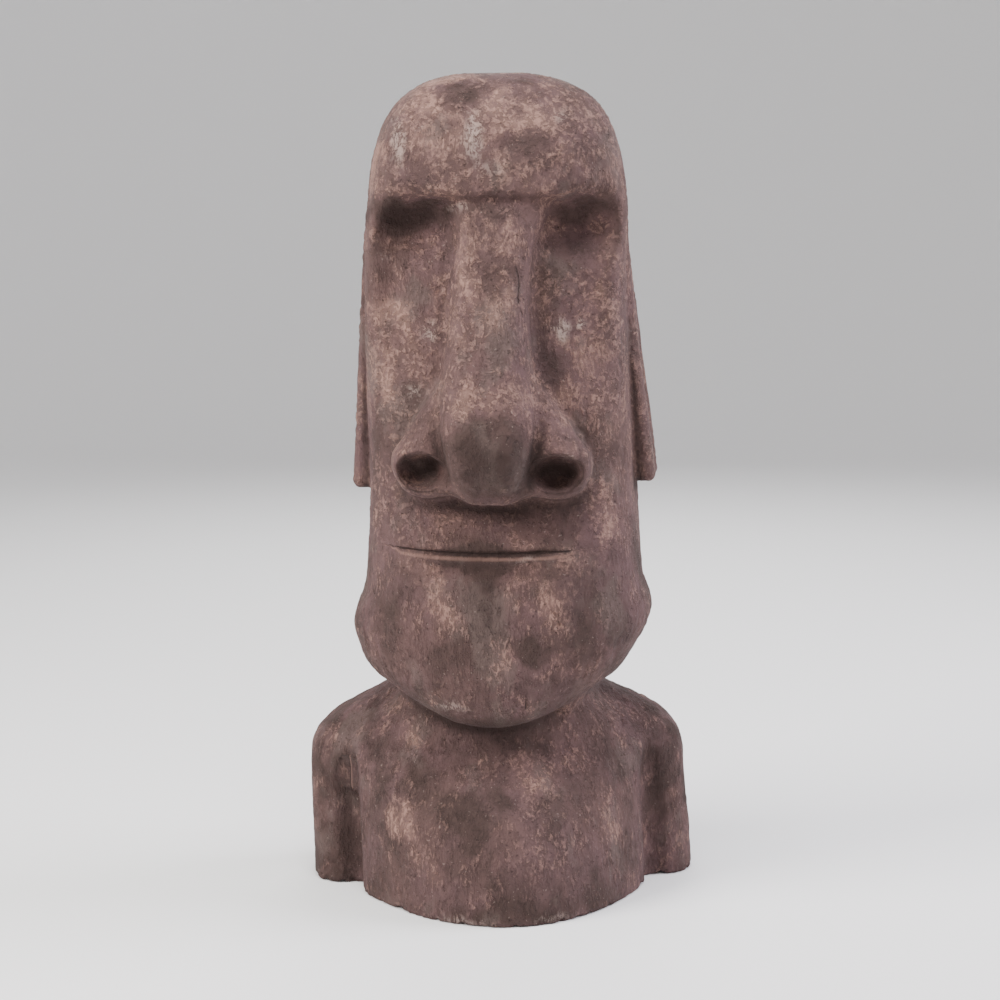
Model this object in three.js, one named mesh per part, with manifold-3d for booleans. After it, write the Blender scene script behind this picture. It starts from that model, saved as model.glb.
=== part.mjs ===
// A moai: the head and shoulders of an Easter Island figure, cast in one piece as a garden statue.
//
// Millimetres, +Z up. The statue stands on z = 0 with the origin at the middle of its flat underside.
// It faces -Y, and its left side is at +X.
//
// The stone is written as fields: functions of a point that are negative inside the stone, zero on its
// surface and roughly the distance in millimetres elsewhere. Skull and nose are melted into one field, and
// chest and shoulders into another. A closed grid of courses and columns is pushed out from the middle of
// head, torso and ears until each of its points lies on the surface. These solids are joined, and the
// nostrils are cut out.

import * as THREE from "three";
import { mergeVertices } from "three/addons/utils/BufferGeometryUtils.js";
import Module from "manifold-3d";

const { clamp, lerp, smoothstep, degToRad } = THREE.MathUtils;

// ---------------------------------------------------------------------------------------------------
// Driving dimensions
// ---------------------------------------------------------------------------------------------------

const HEIGHT = 1000;
const FACE_TURN = 10; // degrees that the lower face is turned towards -X on the shoulders

// The landmarks of the face, as heights over the underside.
const DOME_SPRING = 820; // where the sides of the head start to close over the top
const BROW_EDGE = 862;
const NOSE_UNDERSIDE = 505;
const MOUTH_LINE = 444;
const JAW_CORNER = 352;
const CHIN_UNDERSIDE = 232;

// The head: half of its width, and how far it reaches forward and back, at each height.
const HEAD_HALF_WIDTH = profile(
  [235, 124],
  [255, 136],
  [290, 156],
  [322, 171],
  [JAW_CORNER, 181],
  [400, 167],
  [480, 162],
  [620, 159],
  [810, 155],
  [925, 151],
);
const HEAD_FRONT = profile(
  [CHIN_UNDERSIDE, 140],
  [300, 150],
  [380, 146],
  [MOUTH_LINE, 138],
  [NOSE_UNDERSIDE, 122],
  [560, 115],
  [700, 118],
  [BROW_EDGE, 125],
  [HEIGHT, 122],
);
const HEAD_BACK = profile([CHIN_UNDERSIDE, 96], [500, 114], [800, 110], [HEIGHT, 104]);
const HEAD_SQUARENESS = profile([250, 2.3], [400, 2.7], [600, 3.3], [850, 3.7]);
const DOME_SQUARENESS = 3;
const HEAD_TURN = profile([190, 0], [235, FACE_TURN], [600, FACE_TURN], [760, 7], [BROW_EDGE, 0]);
const HEAD_LEAN = profile([0, 4], [150, -2], [290, 0], [350, 5], [430, 7], [500, 6], [820, -2]);
const JAW_TILT = 0.04; // rise of the jaw corners towards +X
const CHIN_ROUNDING = 38;
const FACE_CARVING = { from: 10, to: 60 }; // distances forward of the axis over which the carving sets in

// The brow overhangs the eyes, and its edge droops at the temples.
const BROW_SETBACK = profile([600, 0], [690, 12], [790, 24], [BROW_EDGE, 28]);
const BROW_DROOP = 58;
const BROW_DROOP_POWER = 6;
const BROW_HALF_WIDTH = 153;
const BROW_UNDERCUT = 9; // height over which the stone steps back under the brow
const BROW_DEPTH = 125;
const TEMPLE_INNER = 132; // the overhang fades out from here to the outer edge of the temple
const TEMPLE_OUTER = 152;
const SOCKET = { x: 92, y: -128, z: 818, rx: 62, ry: 42, rz: 40, blend: 16 };

// The nose: a ridge that widens and comes forward down to the tip, with a wing on each side.
const NOSE_HALF_WIDTH = profile([508, 46], [550, 53], [596, 61], [650, 56], [730, 48], [800, 48], [870, 60]);
const NOSE_FRONT = profile(
  [508, 184],
  [552, 195],
  [592, 186],
  [655, 164],
  [750, 141],
  [850, 120],
  [880, 104],
);
const NOSE_ROOT = -60; // y of the buried middle of the ridge
const NOSE_SQUARENESS = 2.9;
const NOSE_TIP_ROUNDING = 34;
const NOSE_BLEND = 12;
const NOSE_FILLET = { from: 600, to: 700 }; // heights between the wings' fillet and the ridge's
const WING = {
  top: new THREE.Vector3(50, -116, 632),
  topRadius: 14,
  bottom: new THREE.Vector3(77, -124, 549),
  bottomRadius: 41,
  noseBlend: 14,
  faceBlend: 12,
};
const NOSE_BASE = { y: -120, z: 525, halfWidth: 96, halfDepth: 44, halfHeight: 15, blend: 12 };
const NOSTRIL = { x: 83, y: -162, z: 542, rx: 28, ry: 34, rz: 16 };

// The mouth: one scored line with thin lips, on a muzzle that stands forward of the cheeks.
const MOUTH_HALF_WIDTH = 104;
const MOUTH_OFFSET = -10; // the mouth is carved a little off the middle of the face
const MOUTH_SCORE_DEPTH = 6;
const MOUTH_SCORE_HALF_HEIGHT = 6;
const MOUTH_SCORE_FADE = 14;
const LIPS_FADE = 52;
const MOUTH_CORNER_LIFT = 1;
const LOWER_LIP = { below: 6.5, halfHeight: 5, stands: 3 };
const LIP_CHANNEL = { below: 20, halfHeight: 12, depth: 5 };
const UPPER_LIP = { above: 7, halfHeight: 9, stands: 2 };
const MUZZLE = { halfWidth: 112, fold: 9, stands: 4, top: 500, bottom: 300 };

// The ears: long slabs down the sides of the head, set outwards at the lobes.
const EAR_TOP = 852;
const EAR_BOTTOM = 507;
const EAR_OUTER_TOP = 153;
const EAR_OUTER_BOTTOM = 186;
const EAR_HALF_THICKNESS = 22;
const EAR_HALF_DEPTH = profile([EAR_BOTTOM, 34], [600, 36], [EAR_TOP, 44]);
const EAR_MIDDLE_Y = 8;
const EAR_ROUNDING = 11;
const EAR_LIFT = 5.6; // how much higher the ear at +X stands, and the other one lower
const EAR_CHANNEL = { z: 655, ry: 13, rz: 135, rx: 9, blend: 6 };

// The torso: a rounded chest that runs up into the neck, and behind it the shoulders with straight arms.
const CHEST_HALF_WIDTH = profile([0, 186], [110, 183], [165, 174], [205, 150], [240, 118], [290, 104]);
const CHEST_FRONT = profile([0, 178], [60, 173], [110, 157], [150, 129], [180, 101], [205, 87], [290, 80]);
const CHEST_BACK = profile([0, 138], [150, 126], [240, 98], [290, 92]);
const CHEST_BACK_ROUNDING = 60;
const CHEST_OFFSET = -5;
const CHEST_ACROSS = 2; // powers of the chest's outline seen from above
const CHEST_FORWARD = profile([0, 1.25], [120, 1.35], [240, 2]);
const NECK_TOP = 300; // the neck runs up inside the head
const NECK_ROUNDING = 14;
const TORSO_LEAN_TOP = 150; // over this height the torso stands straight
const SHOULDER_HALF_WIDTH = profile([0, 240], [150, 236], [240, 234]);
const SHOULDER_SPRING = 150;
const SHOULDER_TOP = 242;
const SHOULDER_MIDDLE_Y = 66;
const SHOULDER_HALF_DEPTH = profile([0, 74], [150, 68], [240, 54]);
const SHOULDER_SQUARENESS = 4;
const SHOULDER_ROUNDNESS = 2.45;
const SHOULDER_BLEND = profile([60, 14], [170, 60]);
const ARM_GROOVE = { x: 186, y: -8, radius: 8, top: 165, fade: 60, blend: 8 }; // between chest and arm

// The grids of head, torso and ears. Each course is a ring of rays from one height on an upright axis; in
// the head they rise or fall, in degrees, so that they meet undersides squarely: `front` is their rise before
// the face, `aside` at the sides and behind. A station is reached from the one above it in so many steps.
const DOME_CENTRE = 930;
const CHIN_CENTRE = 278;
const HEAD_STATIONS = [
  { height: DOME_CENTRE, front: 90, aside: 90, steps: 0 },
  { height: DOME_CENTRE, front: 0, aside: 0, steps: 7 },
  { height: BROW_EDGE + 46, front: -20, aside: 0, steps: 3 },
  { height: BROW_EDGE + 38, front: -21.5, aside: 0, steps: 2 },
  { height: 800, front: 0, aside: 0, steps: 6 },
  { height: 640, front: 0, aside: 0, steps: 5 },
  { height: 600, front: -5, aside: 0, steps: 2 },
  { height: 578, front: -12, aside: 0, steps: 2 },
  { height: 568, front: -18, aside: 0, steps: 2 },
  { height: 563, front: -22.5, aside: 0, steps: 2 },
  { height: 545, front: -25.5, aside: 0, steps: 2 },
  { height: MOUTH_LINE + 4, front: 0, aside: 0, steps: 3 },
  { height: MOUTH_LINE - 4, front: 0, aside: 0, steps: 2 },
  { height: MOUTH_LINE - 12, front: 0, aside: 0, steps: 1 },
  { height: MOUTH_LINE - 36, front: 0, aside: 0, steps: 2 },
  { height: 300, front: 0, aside: 0, steps: 5 },
  { height: CHIN_CENTRE, front: -6, aside: -6, steps: 1 },
  { height: CHIN_CENTRE, front: -26, aside: -26, steps: 4 },
  { height: CHIN_CENTRE, front: -90, aside: -90, steps: 2 },
];
const HEAD_COLUMNS = [
  [44, 17],
  [68, 10],
  [98, 6],
  [180, 8],
];
const TORSO_CENTRE = 140;
const TORSO_STATIONS = [
  { height: TORSO_CENTRE, front: 90, aside: 90, steps: 0 },
  { height: TORSO_CENTRE, front: 54, aside: 54, steps: 2 },
  { height: TORSO_CENTRE, front: 0, aside: 0, steps: 9 },
  { height: 0, front: 0, aside: 0, steps: 3 },
];
const TORSO_COLUMNS = [
  [78, 9],
  [95, 7],
  [135, 7],
  [180, 3],
];
const EAR_CENTRES = { top: EAR_TOP - 30, bottom: EAR_BOTTOM + 30 };
const EAR_STATIONS = [
  { height: EAR_CENTRES.top, front: 90, aside: 90, steps: 0 },
  { height: EAR_CENTRES.top, front: 0, aside: 0, steps: 3 },
  { height: EAR_CENTRES.bottom, front: 0, aside: 0, steps: 8 },
  { height: EAR_CENTRES.bottom, front: -90, aside: -90, steps: 5 },
];
const EAR_COLUMNS = [[180, 9]];
const FRONT_ENDS = { from: 68, to: 90 }; // degrees from the front between which the face's rises fade out
const BROW_FOLLOWING = profile([640, 0], [800, 0.9], [BROW_EDGE, 1], [BROW_EDGE + 46, 1], [DOME_CENTRE, 0]);
const SEARCH_STEP = 4;
const HALVINGS = 16;
const NOSTRIL_COLUMNS = 12;
const NOSTRIL_COURSES = 12;
const MERGE_DISTANCE = 1e-5; // on a ball of radius 1

const STONE_COLOUR = 0x796260;
const STONE_ROUGHNESS = 0.92;
const LEAST = 1e-9; // keeps a power or a division away from zero

// ---------------------------------------------------------------------------------------------------
// Curves and fields
// ---------------------------------------------------------------------------------------------------

// A smooth curve through [position, value] stations in rising order: it never overshoots a station, and
// it is level beyond both ends.
function profile(...stations) {
  const slope = (i) => (stations[i + 1][1] - stations[i][1]) / (stations[i + 1][0] - stations[i][0]);
  const tangents = stations.map((_, i) => {
    if (i === 0 || i === stations.length - 1) return 0;
    const before = slope(i - 1);
    const after = slope(i);
    return before * after > 0 ? (2 * before * after) / (before + after) : 0;
  });
  return (at) => {
    const last = stations.length - 1;
    if (at <= stations[0][0]) return stations[0][1];
    if (at >= stations[last][0]) return stations[last][1];
    const i = stations.findIndex(([position]) => position > at) - 1;
    const width = stations[i + 1][0] - stations[i][0];
    const t = (at - stations[i][0]) / width;
    const rise = t * t * (3 - 2 * t);
    const start = t * (1 - t) * (1 - t) * width * tangents[i];
    const end = t * t * (t - 1) * width * tangents[i + 1];
    return lerp(stations[i][1], stations[i + 1][1], rise) + start + end;
  };
}

// 1 in the middle of a band and 0 outside it, with round shoulders.
function hump(offset, halfWidth) {
  const share = clamp(Math.abs(offset) / halfWidth, 0, 1);
  return (1 - share * share) ** 2;
}

function melt(a, b, blend) {
  const overlap = Math.max(blend - Math.abs(a - b), 0) / blend;
  return Math.min(a, b) - (overlap * overlap * blend) / 4;
}

function keepCommon(a, b, blend) {
  return -melt(-a, -b, blend);
}

function carveOut(stone, hollow, blend) {
  return keepCommon(stone, -hollow, blend);
}

// A squared-off ball: `plan` squares its outline seen from above, and `rise` the way it closes upwards.
function squaredBall(x, y, z, halfWidth, halfDepth, halfHeight, plan, rise) {
  const u = Math.abs(x / halfWidth);
  const v = Math.abs(y / halfDepth);
  const w = Math.abs(z / halfHeight);
  const flat = Math.max(u ** plan + v ** plan, LEAST);
  const reach = (flat ** (rise / plan) + w ** rise) ** (1 / rise);
  const share = reach ** (1 - rise);
  const sideways = share * flat ** (rise / plan - 1);
  const slope = Math.hypot(
    (sideways * u ** (plan - 1)) / halfWidth,
    (sideways * v ** (plan - 1)) / halfDepth,
    (share * w ** (rise - 1)) / halfHeight,
  );
  return (reach - 1) / slope;
}

function egg(x, y, z, { rx, ry, rz }) {
  return squaredBall(x, y, z, rx, ry, rz, 2, 2);
}

// ---------------------------------------------------------------------------------------------------
// The parts of the figure
// ---------------------------------------------------------------------------------------------------

function browDroop(side) {
  return BROW_DROOP * (side / BROW_HALF_WIDTH) ** BROW_DROOP_POWER;
}

// How far the front of the head is set back from its plain outline: the brow's overhang and the mouth.
function faceSetback(x, z) {
  const side = Math.abs(x);
  const browEdge = BROW_EDGE - browDroop(side);
  const underBrow = smoothstep(browEdge - z, -2, BROW_UNDERCUT);
  const insideTemple = 1 - smoothstep(side, TEMPLE_INNER, TEMPLE_OUTER);
  const brow = BROW_SETBACK(z) * underBrow * insideTemple;

  const fromMouth = Math.abs(x - MOUTH_OFFSET);
  const mouthLine = MOUTH_LINE + MOUTH_CORNER_LIFT * (fromMouth / MOUTH_HALF_WIDTH) ** 2;
  const aboveMouth = z - mouthLine;
  const alongScore = 1 - smoothstep(fromMouth, MOUTH_HALF_WIDTH - MOUTH_SCORE_FADE, MOUTH_HALF_WIDTH);
  const alongLips = 1 - smoothstep(fromMouth, MOUTH_HALF_WIDTH - LIPS_FADE, MOUTH_HALF_WIDTH);
  const score = MOUTH_SCORE_DEPTH * hump(aboveMouth, MOUTH_SCORE_HALF_HEIGHT);
  const lowerLip = LOWER_LIP.stands * hump(aboveMouth + LOWER_LIP.below, LOWER_LIP.halfHeight);
  const upperLip = UPPER_LIP.stands * hump(aboveMouth - UPPER_LIP.above, UPPER_LIP.halfHeight);
  const channel = LIP_CHANNEL.depth * hump(aboveMouth + LIP_CHANNEL.below, LIP_CHANNEL.halfHeight);

  const onMuzzle = 1 - smoothstep(fromMouth, MUZZLE.halfWidth - MUZZLE.fold, MUZZLE.halfWidth + MUZZLE.fold);
  const muzzleMiddle = (MUZZLE.top + MUZZLE.bottom) / 2;
  const muzzle = MUZZLE.stands * onMuzzle * hump(z - muzzleMiddle, MUZZLE.top - muzzleMiddle);
  return brow + alongScore * score + alongLips * (channel - lowerLip - upperLip) - muzzle;
}

function skull(x, y, z) {
  const carved = smoothstep(-y, FACE_CARVING.from, FACE_CARVING.to);
  const front = -HEAD_FRONT(z);
  const back = HEAD_BACK(z);
  const middle = (front + back) / 2;
  const shell = squaredBall(
    x,
    y - carved * faceSetback(x, z) - middle,
    Math.max(z - DOME_SPRING, 0),
    HEAD_HALF_WIDTH(z - JAW_TILT * x),
    (back - front) / 2,
    HEIGHT - DOME_SPRING,
    HEAD_SQUARENESS(z),
    DOME_SQUARENESS,
  );
  const stone = keepCommon(shell, CHIN_UNDERSIDE - z, CHIN_ROUNDING);
  const socket = egg(Math.abs(x) - SOCKET.x, y - SOCKET.y, z - SOCKET.z, SOCKET);
  return carveOut(stone, socket, SOCKET.blend);
}

function nose(x, y, z) {
  const ridge = squaredBall(
    x,
    y - NOSE_ROOT,
    0,
    NOSE_HALF_WIDTH(z),
    NOSE_FRONT(z) + NOSE_ROOT,
    HEIGHT,
    NOSE_SQUARENESS,
    2,
  );
  const column = keepCommon(ridge, z - BROW_EDGE, NOSE_BLEND);
  return keepCommon(column, NOSE_UNDERSIDE - z, NOSE_TIP_ROUNDING);
}

const WING_AXIS = WING.bottom.clone().sub(WING.top);

function wing(side, y, z) {
  const fromTop = new THREE.Vector3(side, y, z).sub(WING.top);
  const along = clamp(fromTop.dot(WING_AXIS) / WING_AXIS.lengthSq(), 0, 1);
  return fromTop.addScaledVector(WING_AXIS, -along).length() - lerp(WING.topRadius, WING.bottomRadius, along);
}

function earOuter(z) {
  return lerp(EAR_OUTER_BOTTOM, EAR_OUTER_TOP, clamp((z - EAR_BOTTOM) / (EAR_TOP - EAR_BOTTOM), 0, 1));
}

function ear(side, y, z) {
  const halfHeight = (EAR_TOP - EAR_BOTTOM) / 2;
  const past = [
    Math.abs(side - earOuter(z) + EAR_HALF_THICKNESS) - EAR_HALF_THICKNESS + EAR_ROUNDING,
    Math.abs(y - EAR_MIDDLE_Y) - EAR_HALF_DEPTH(z) + EAR_ROUNDING,
    Math.abs(z - EAR_BOTTOM - halfHeight) - halfHeight + EAR_ROUNDING,
  ];
  const beyond = Math.hypot(...past.map((p) => Math.max(p, 0)));
  const slab = beyond + Math.min(Math.max(...past), 0) - EAR_ROUNDING;
  const channel = egg(side - earOuter(z), y - EAR_MIDDLE_Y, z - EAR_CHANNEL.z, EAR_CHANNEL);
  return carveOut(slab, channel, EAR_CHANNEL.blend);
}

function noseBase(x, y, z) {
  const { halfWidth, halfDepth, halfHeight } = NOSE_BASE;
  const [forward, above] = [y - NOSE_BASE.y, z - NOSE_BASE.z];
  return squaredBall(x, forward, above, halfWidth, halfDepth, halfHeight, NOSE_SQUARENESS, 2);
}

// The head is turned on the shoulders, more so below the brow: a point in the face's own frame.
function faceFrame(x, y, z) {
  const turn = degToRad(HEAD_TURN(z));
  const offset = x - HEAD_LEAN(z);
  return [offset * Math.cos(turn) - y * Math.sin(turn), offset * Math.sin(turn) + y * Math.cos(turn)];
}

function head(x, y, z) {
  const [faceX, faceY] = faceFrame(x, y, z);
  const side = Math.abs(faceX);
  const winged = melt(nose(faceX, faceY, z), wing(side, faceY, z), WING.noseBlend);
  const whole = melt(winged, noseBase(faceX, faceY, z), NOSE_BASE.blend);
  const blend = lerp(WING.faceBlend, NOSE_BLEND, smoothstep(z, NOSE_FILLET.from, NOSE_FILLET.to));
  return melt(skull(faceX, faceY, z), whole, blend);
}

// The chest bulges forward between its sides, which run straight back from y = 0.
function chest(x, y, z) {
  const halfWidth = CHEST_HALF_WIDTH(z);
  const depth = CHEST_FRONT(z);
  const forward = CHEST_FORWARD(z);
  const u = Math.abs(x) / halfWidth;
  const v = Math.max(-y, 0) / depth;
  const slope = Math.hypot((CHEST_ACROSS * u) / halfWidth, (forward * v ** (forward - 1)) / depth);
  const bulge = (u ** CHEST_ACROSS + v ** forward - 1) / Math.max(slope, 1 / halfWidth);
  const backed = keepCommon(bulge, y - CHEST_BACK(z), CHEST_BACK_ROUNDING);
  return keepCommon(backed, z - NECK_TOP, NECK_ROUNDING);
}

function torso(x, y, z) {
  const offset = x - HEAD_LEAN(Math.min(z, TORSO_LEAN_TOP));
  const shoulders = squaredBall(
    offset,
    y - SHOULDER_MIDDLE_Y,
    Math.max(z - SHOULDER_SPRING, 0),
    SHOULDER_HALF_WIDTH(z),
    SHOULDER_HALF_DEPTH(z),
    SHOULDER_TOP - SHOULDER_SPRING,
    SHOULDER_SQUARENESS,
    SHOULDER_ROUNDNESS,
  );
  const body = melt(chest(offset - CHEST_OFFSET, y, z), shoulders, SHOULDER_BLEND(z));
  const toGroove = Math.hypot(Math.abs(offset) - ARM_GROOVE.x, y - ARM_GROOVE.y);
  const runOut = smoothstep(z, ARM_GROOVE.top - ARM_GROOVE.fade, ARM_GROOVE.top);
  const radius = lerp(ARM_GROOVE.radius, -ARM_GROOVE.radius, runOut);
  return carveOut(body, toGroove - radius, ARM_GROOVE.blend);
}

// ---------------------------------------------------------------------------------------------------
// The faceted solid
// ---------------------------------------------------------------------------------------------------

function coursesOf(stations) {
  const courses = [stations[0]];
  stations.slice(1).forEach((station, i) => {
    const before = stations[i];
    for (let step = 1; step <= station.steps; step += 1) {
      const share = step / station.steps;
      courses.push({
        height: lerp(before.height, station.height, share),
        front: lerp(before.front, station.front, share),
        aside: lerp(before.aside, station.aside, share),
      });
    }
  });
  return courses;
}

// The columns of one side, in degrees from the front: the bands give each one's end and its steps.
function columnsOf(bands) {
  const columns = [0];
  for (const [end, steps] of bands) {
    const start = columns.at(-1);
    for (let step = 1; step <= steps; step += 1) columns.push(lerp(start, end, step / steps));
  }
  return columns;
}

// The point at which a ray from inside the stone first leaves it.
function wayOut(field, start, direction) {
  const point = new THREE.Vector3();
  const depth = (reach) => {
    point.copy(start).addScaledVector(direction, reach);
    return field(point.x, point.y, point.z);
  };
  let outside = SEARCH_STEP;
  while (depth(outside) < 0) outside += SEARCH_STEP;
  let inside = outside - SEARCH_STEP;
  for (let i = 0; i < HALVINGS; i += 1) {
    const between = (inside + outside) / 2;
    if (depth(between) > 0) outside = between;
    else inside = between;
  }
  return start.clone().addScaledVector(direction, (inside + outside) / 2);
}

// A ball of radius 1 about the upright axis, with so many columns on each side.
function ballOf(columns, courses) {
  const ball = new THREE.SphereGeometry(1, 2 * columns, courses);
  ball.deleteAttribute("normal");
  ball.deleteAttribute("uv");
  return mergeVertices(ball.rotateX(Math.PI / 2), MERGE_DISTANCE);
}

// A ball's grid of courses and columns, each of its points moved to the place that is asked for by the
// point's course and its degrees from the front.
function wrapped(courses, columns, placeOf) {
  const grid = ballOf(columns.length - 1, courses.length - 1);
  const places = grid.getAttribute("position");
  const point = new THREE.Vector3();
  for (let i = 0; i < places.count; i += 1) {
    point.fromBufferAttribute(places, i);
    const row = Math.round((Math.acos(clamp(point.z, -1, 1)) / Math.PI) * (courses.length - 1));
    const turn = Math.atan2(point.x, -point.y);
    const column = Math.round((Math.abs(turn) / Math.PI) * (columns.length - 1));
    const place = placeOf(courses[row], Math.sign(turn) * columns[column]);
    places.setXYZ(i, place.x, place.y, place.z);
  }
  return grid;
}

function directionOf(heading, rise) {
  const level = Math.cos(rise);
  return new THREE.Vector3(Math.sin(heading) * level, -Math.cos(heading) * level, Math.sin(rise));
}

// The courses near the brow droop with its edge, so that the edge stays crisp.
function heightOnAxis(course, degrees, frontShare) {
  const turn = degToRad(Math.abs(degrees));
  const squareness = HEAD_SQUARENESS(BROW_EDGE);
  const inWidths = Math.sin(turn) / BROW_HALF_WIDTH;
  const inDepths = Math.abs(Math.cos(turn)) / BROW_DEPTH;
  const side = Math.sin(turn) / (inWidths ** squareness + inDepths ** squareness) ** (1 / squareness);
  return course.height - browDroop(side) * BROW_FOLLOWING(course.height) * frontShare;
}

function headGeometry() {
  return wrapped(coursesOf(HEAD_STATIONS), columnsOf(HEAD_COLUMNS), (course, degrees) => {
    const frontShare = 1 - smoothstep(Math.abs(degrees), FRONT_ENDS.from, FRONT_ENDS.to);
    const height = heightOnAxis(course, degrees, frontShare);
    const rise = degToRad(lerp(course.aside, course.front, frontShare));
    const heading = degToRad(degrees - HEAD_TURN(height));
    return wayOut(head, new THREE.Vector3(HEAD_LEAN(height), 0, height), directionOf(heading, rise));
  });
}

function torsoGeometry() {
  const underside = { height: 0, front: -90 };
  const courses = [...coursesOf(TORSO_STATIONS), underside];
  return wrapped(courses, columnsOf(TORSO_COLUMNS), (course, degrees) => {
    const middle = new THREE.Vector3(HEAD_LEAN(0), 0, course.height);
    if (course === underside) return middle;
    return wayOut(torso, middle, directionOf(degToRad(degrees), degToRad(course.front)));
  });
}

// From the face's own frame to the head's place on the shoulders.
function placeOnHead(x, y, z) {
  const turn = degToRad(HEAD_TURN(z));
  const offset = x * Math.cos(turn) + y * Math.sin(turn);
  return [HEAD_LEAN(z) + offset, y * Math.cos(turn) - x * Math.sin(turn), z];
}

function earGeometry(sign) {
  const lift = sign * EAR_LIFT;
  const field = (x, y, z) => ear(sign * x, y, z - lift);
  const geometry = wrapped(coursesOf(EAR_STATIONS), columnsOf(EAR_COLUMNS), (course, degrees) => {
    const side = earOuter(course.height) - EAR_HALF_THICKNESS;
    const middle = new THREE.Vector3(sign * side, EAR_MIDDLE_Y, course.height + lift);
    return wayOut(field, middle, directionOf(degToRad(degrees), degToRad(course.front)));
  });
  const places = geometry.getAttribute("position");
  for (let i = 0; i < places.count; i += 1) {
    places.setXYZ(i, ...placeOnHead(places.getX(i), places.getY(i), places.getZ(i)));
  }
  return geometry;
}

function nostrilGeometry(sign) {
  const { x, y, z, rx, ry, rz } = NOSTRIL;
  const hollow = ballOf(NOSTRIL_COLUMNS, NOSTRIL_COURSES).scale(rx, ry, rz);
  return hollow.rotateZ(-degToRad(HEAD_TURN(z))).translate(...placeOnHead(sign * x, y, z));
}

const wasm = await Module();
wasm.setup();

function solidOf(geometry) {
  const vertProperties = geometry.getAttribute("position").array;
  return new wasm.Manifold(new wasm.Mesh({ numProp: 3, vertProperties, triVerts: geometry.index.array }));
}

function geometryOf(solid) {
  const { vertProperties, triVerts } = solid.getMesh();
  const geometry = new THREE.BufferGeometry();
  geometry.setAttribute("position", new THREE.BufferAttribute(vertProperties, 3));
  geometry.setIndex(new THREE.BufferAttribute(triVerts, 1));
  geometry.computeVertexNormals();
  return geometry;
}

let cast = solidOf(headGeometry()).add(solidOf(torsoGeometry()));
for (const sign of [-1, 1]) {
  cast = cast.add(solidOf(earGeometry(sign)));
  cast = cast.subtract(solidOf(nostrilGeometry(sign)));
}

const stone = new THREE.MeshStandardMaterial({ color: STONE_COLOUR, roughness: STONE_ROUGHNESS });

const moai = new THREE.Mesh(geometryOf(cast), stone);
moai.name = "moai_statue";

const part = new THREE.Group();
part.add(moai);

export default part;
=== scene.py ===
"""Dresses a cast-stone moai: its carved skin, its dry-brushed finish with painted shade, and a plain studio
round it.
"""

import logging
import math
from collections.abc import Sequence
from dataclasses import dataclass
from enum import Enum
from typing import Any

import bpy
import numpy as np
from mathutils import Matrix, Vector


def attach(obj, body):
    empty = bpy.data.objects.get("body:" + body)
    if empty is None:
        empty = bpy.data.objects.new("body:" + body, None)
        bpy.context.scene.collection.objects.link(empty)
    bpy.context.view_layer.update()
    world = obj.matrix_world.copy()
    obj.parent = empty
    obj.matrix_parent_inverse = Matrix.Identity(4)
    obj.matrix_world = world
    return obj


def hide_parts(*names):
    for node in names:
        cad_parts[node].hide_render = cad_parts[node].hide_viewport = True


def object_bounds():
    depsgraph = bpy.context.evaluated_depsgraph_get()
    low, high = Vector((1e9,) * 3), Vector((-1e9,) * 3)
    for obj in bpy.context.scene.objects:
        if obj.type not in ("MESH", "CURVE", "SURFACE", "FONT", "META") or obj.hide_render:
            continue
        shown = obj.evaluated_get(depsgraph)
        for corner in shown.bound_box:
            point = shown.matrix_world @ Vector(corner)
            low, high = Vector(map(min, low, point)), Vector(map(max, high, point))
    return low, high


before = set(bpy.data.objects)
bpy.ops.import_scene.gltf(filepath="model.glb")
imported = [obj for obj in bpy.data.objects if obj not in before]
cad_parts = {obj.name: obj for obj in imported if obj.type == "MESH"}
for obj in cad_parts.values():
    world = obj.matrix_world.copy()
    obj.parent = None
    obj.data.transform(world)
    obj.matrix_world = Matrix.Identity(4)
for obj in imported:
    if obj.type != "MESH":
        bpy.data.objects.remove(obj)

log = logging.getLogger("moai")

Array = np.ndarray
CAD_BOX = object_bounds()
STATUE_HEIGHT = CAD_BOX[1].z - CAD_BOX[0].z
UNIT = STATUE_HEIGHT / 1000  # every size below is in thousandths of the statue's height
TINY = 1e-9  # keeps a division away from zero


# ----------------------------------------------------------------------------------------------------
# Curves and fields: a field is negative inside the stone and about the distance from it outside
# ----------------------------------------------------------------------------------------------------


class Curve:
    """A smooth curve through rising stations, level beyond both ends, which never overshoots one."""

    def __init__(self, *stations: tuple[float, float]) -> None:
        """Keeps the stations and works out the slope at each.

        Args:
            stations: pairs of place and value, in rising order of place.
        """
        self.places, self.values = np.array(stations, dtype=float).T
        slopes = np.diff(self.values) / np.diff(self.places)
        before, after = slopes[:-1], slopes[1:]
        turning = before * after <= 0
        total = np.where(turning, 1.0, before + after)
        self.tangents = np.zeros_like(self.values)
        self.tangents[1:-1] = np.where(turning, 0.0, 2 * before * after / total)

    def __call__(self, at: Array) -> Array:
        """The curve's values.

        Args:
            at: the places that are asked for.

        Returns:
            One value for each place.
        """
        at = np.clip(at, self.places[0], self.places[-1])
        i = np.clip(np.searchsorted(self.places, at, side="right") - 1, 0, len(self.places) - 2)
        width = self.places[i + 1] - self.places[i]
        t = (at - self.places[i]) / width
        level = mix(self.values[i], self.values[i + 1], t * t * (3 - 2 * t))
        start = t * (1 - t) ** 2 * width * self.tangents[i]
        end = t * t * (t - 1) * width * self.tangents[i + 1]
        return level + start + end


def mix(a: Array, b: Array, share: Array) -> Array:
    """From a, at a share of 0, to b, at 1."""
    return a + (b - a) * share


def ramp(value: Array, start: float, end: float) -> Array:
    """0 before start and 1 after end, with a smooth rise between them. With end first it falls instead."""
    t = np.clip((value - start) / (end - start), 0, 1)
    return t * t * (3 - 2 * t)


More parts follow.
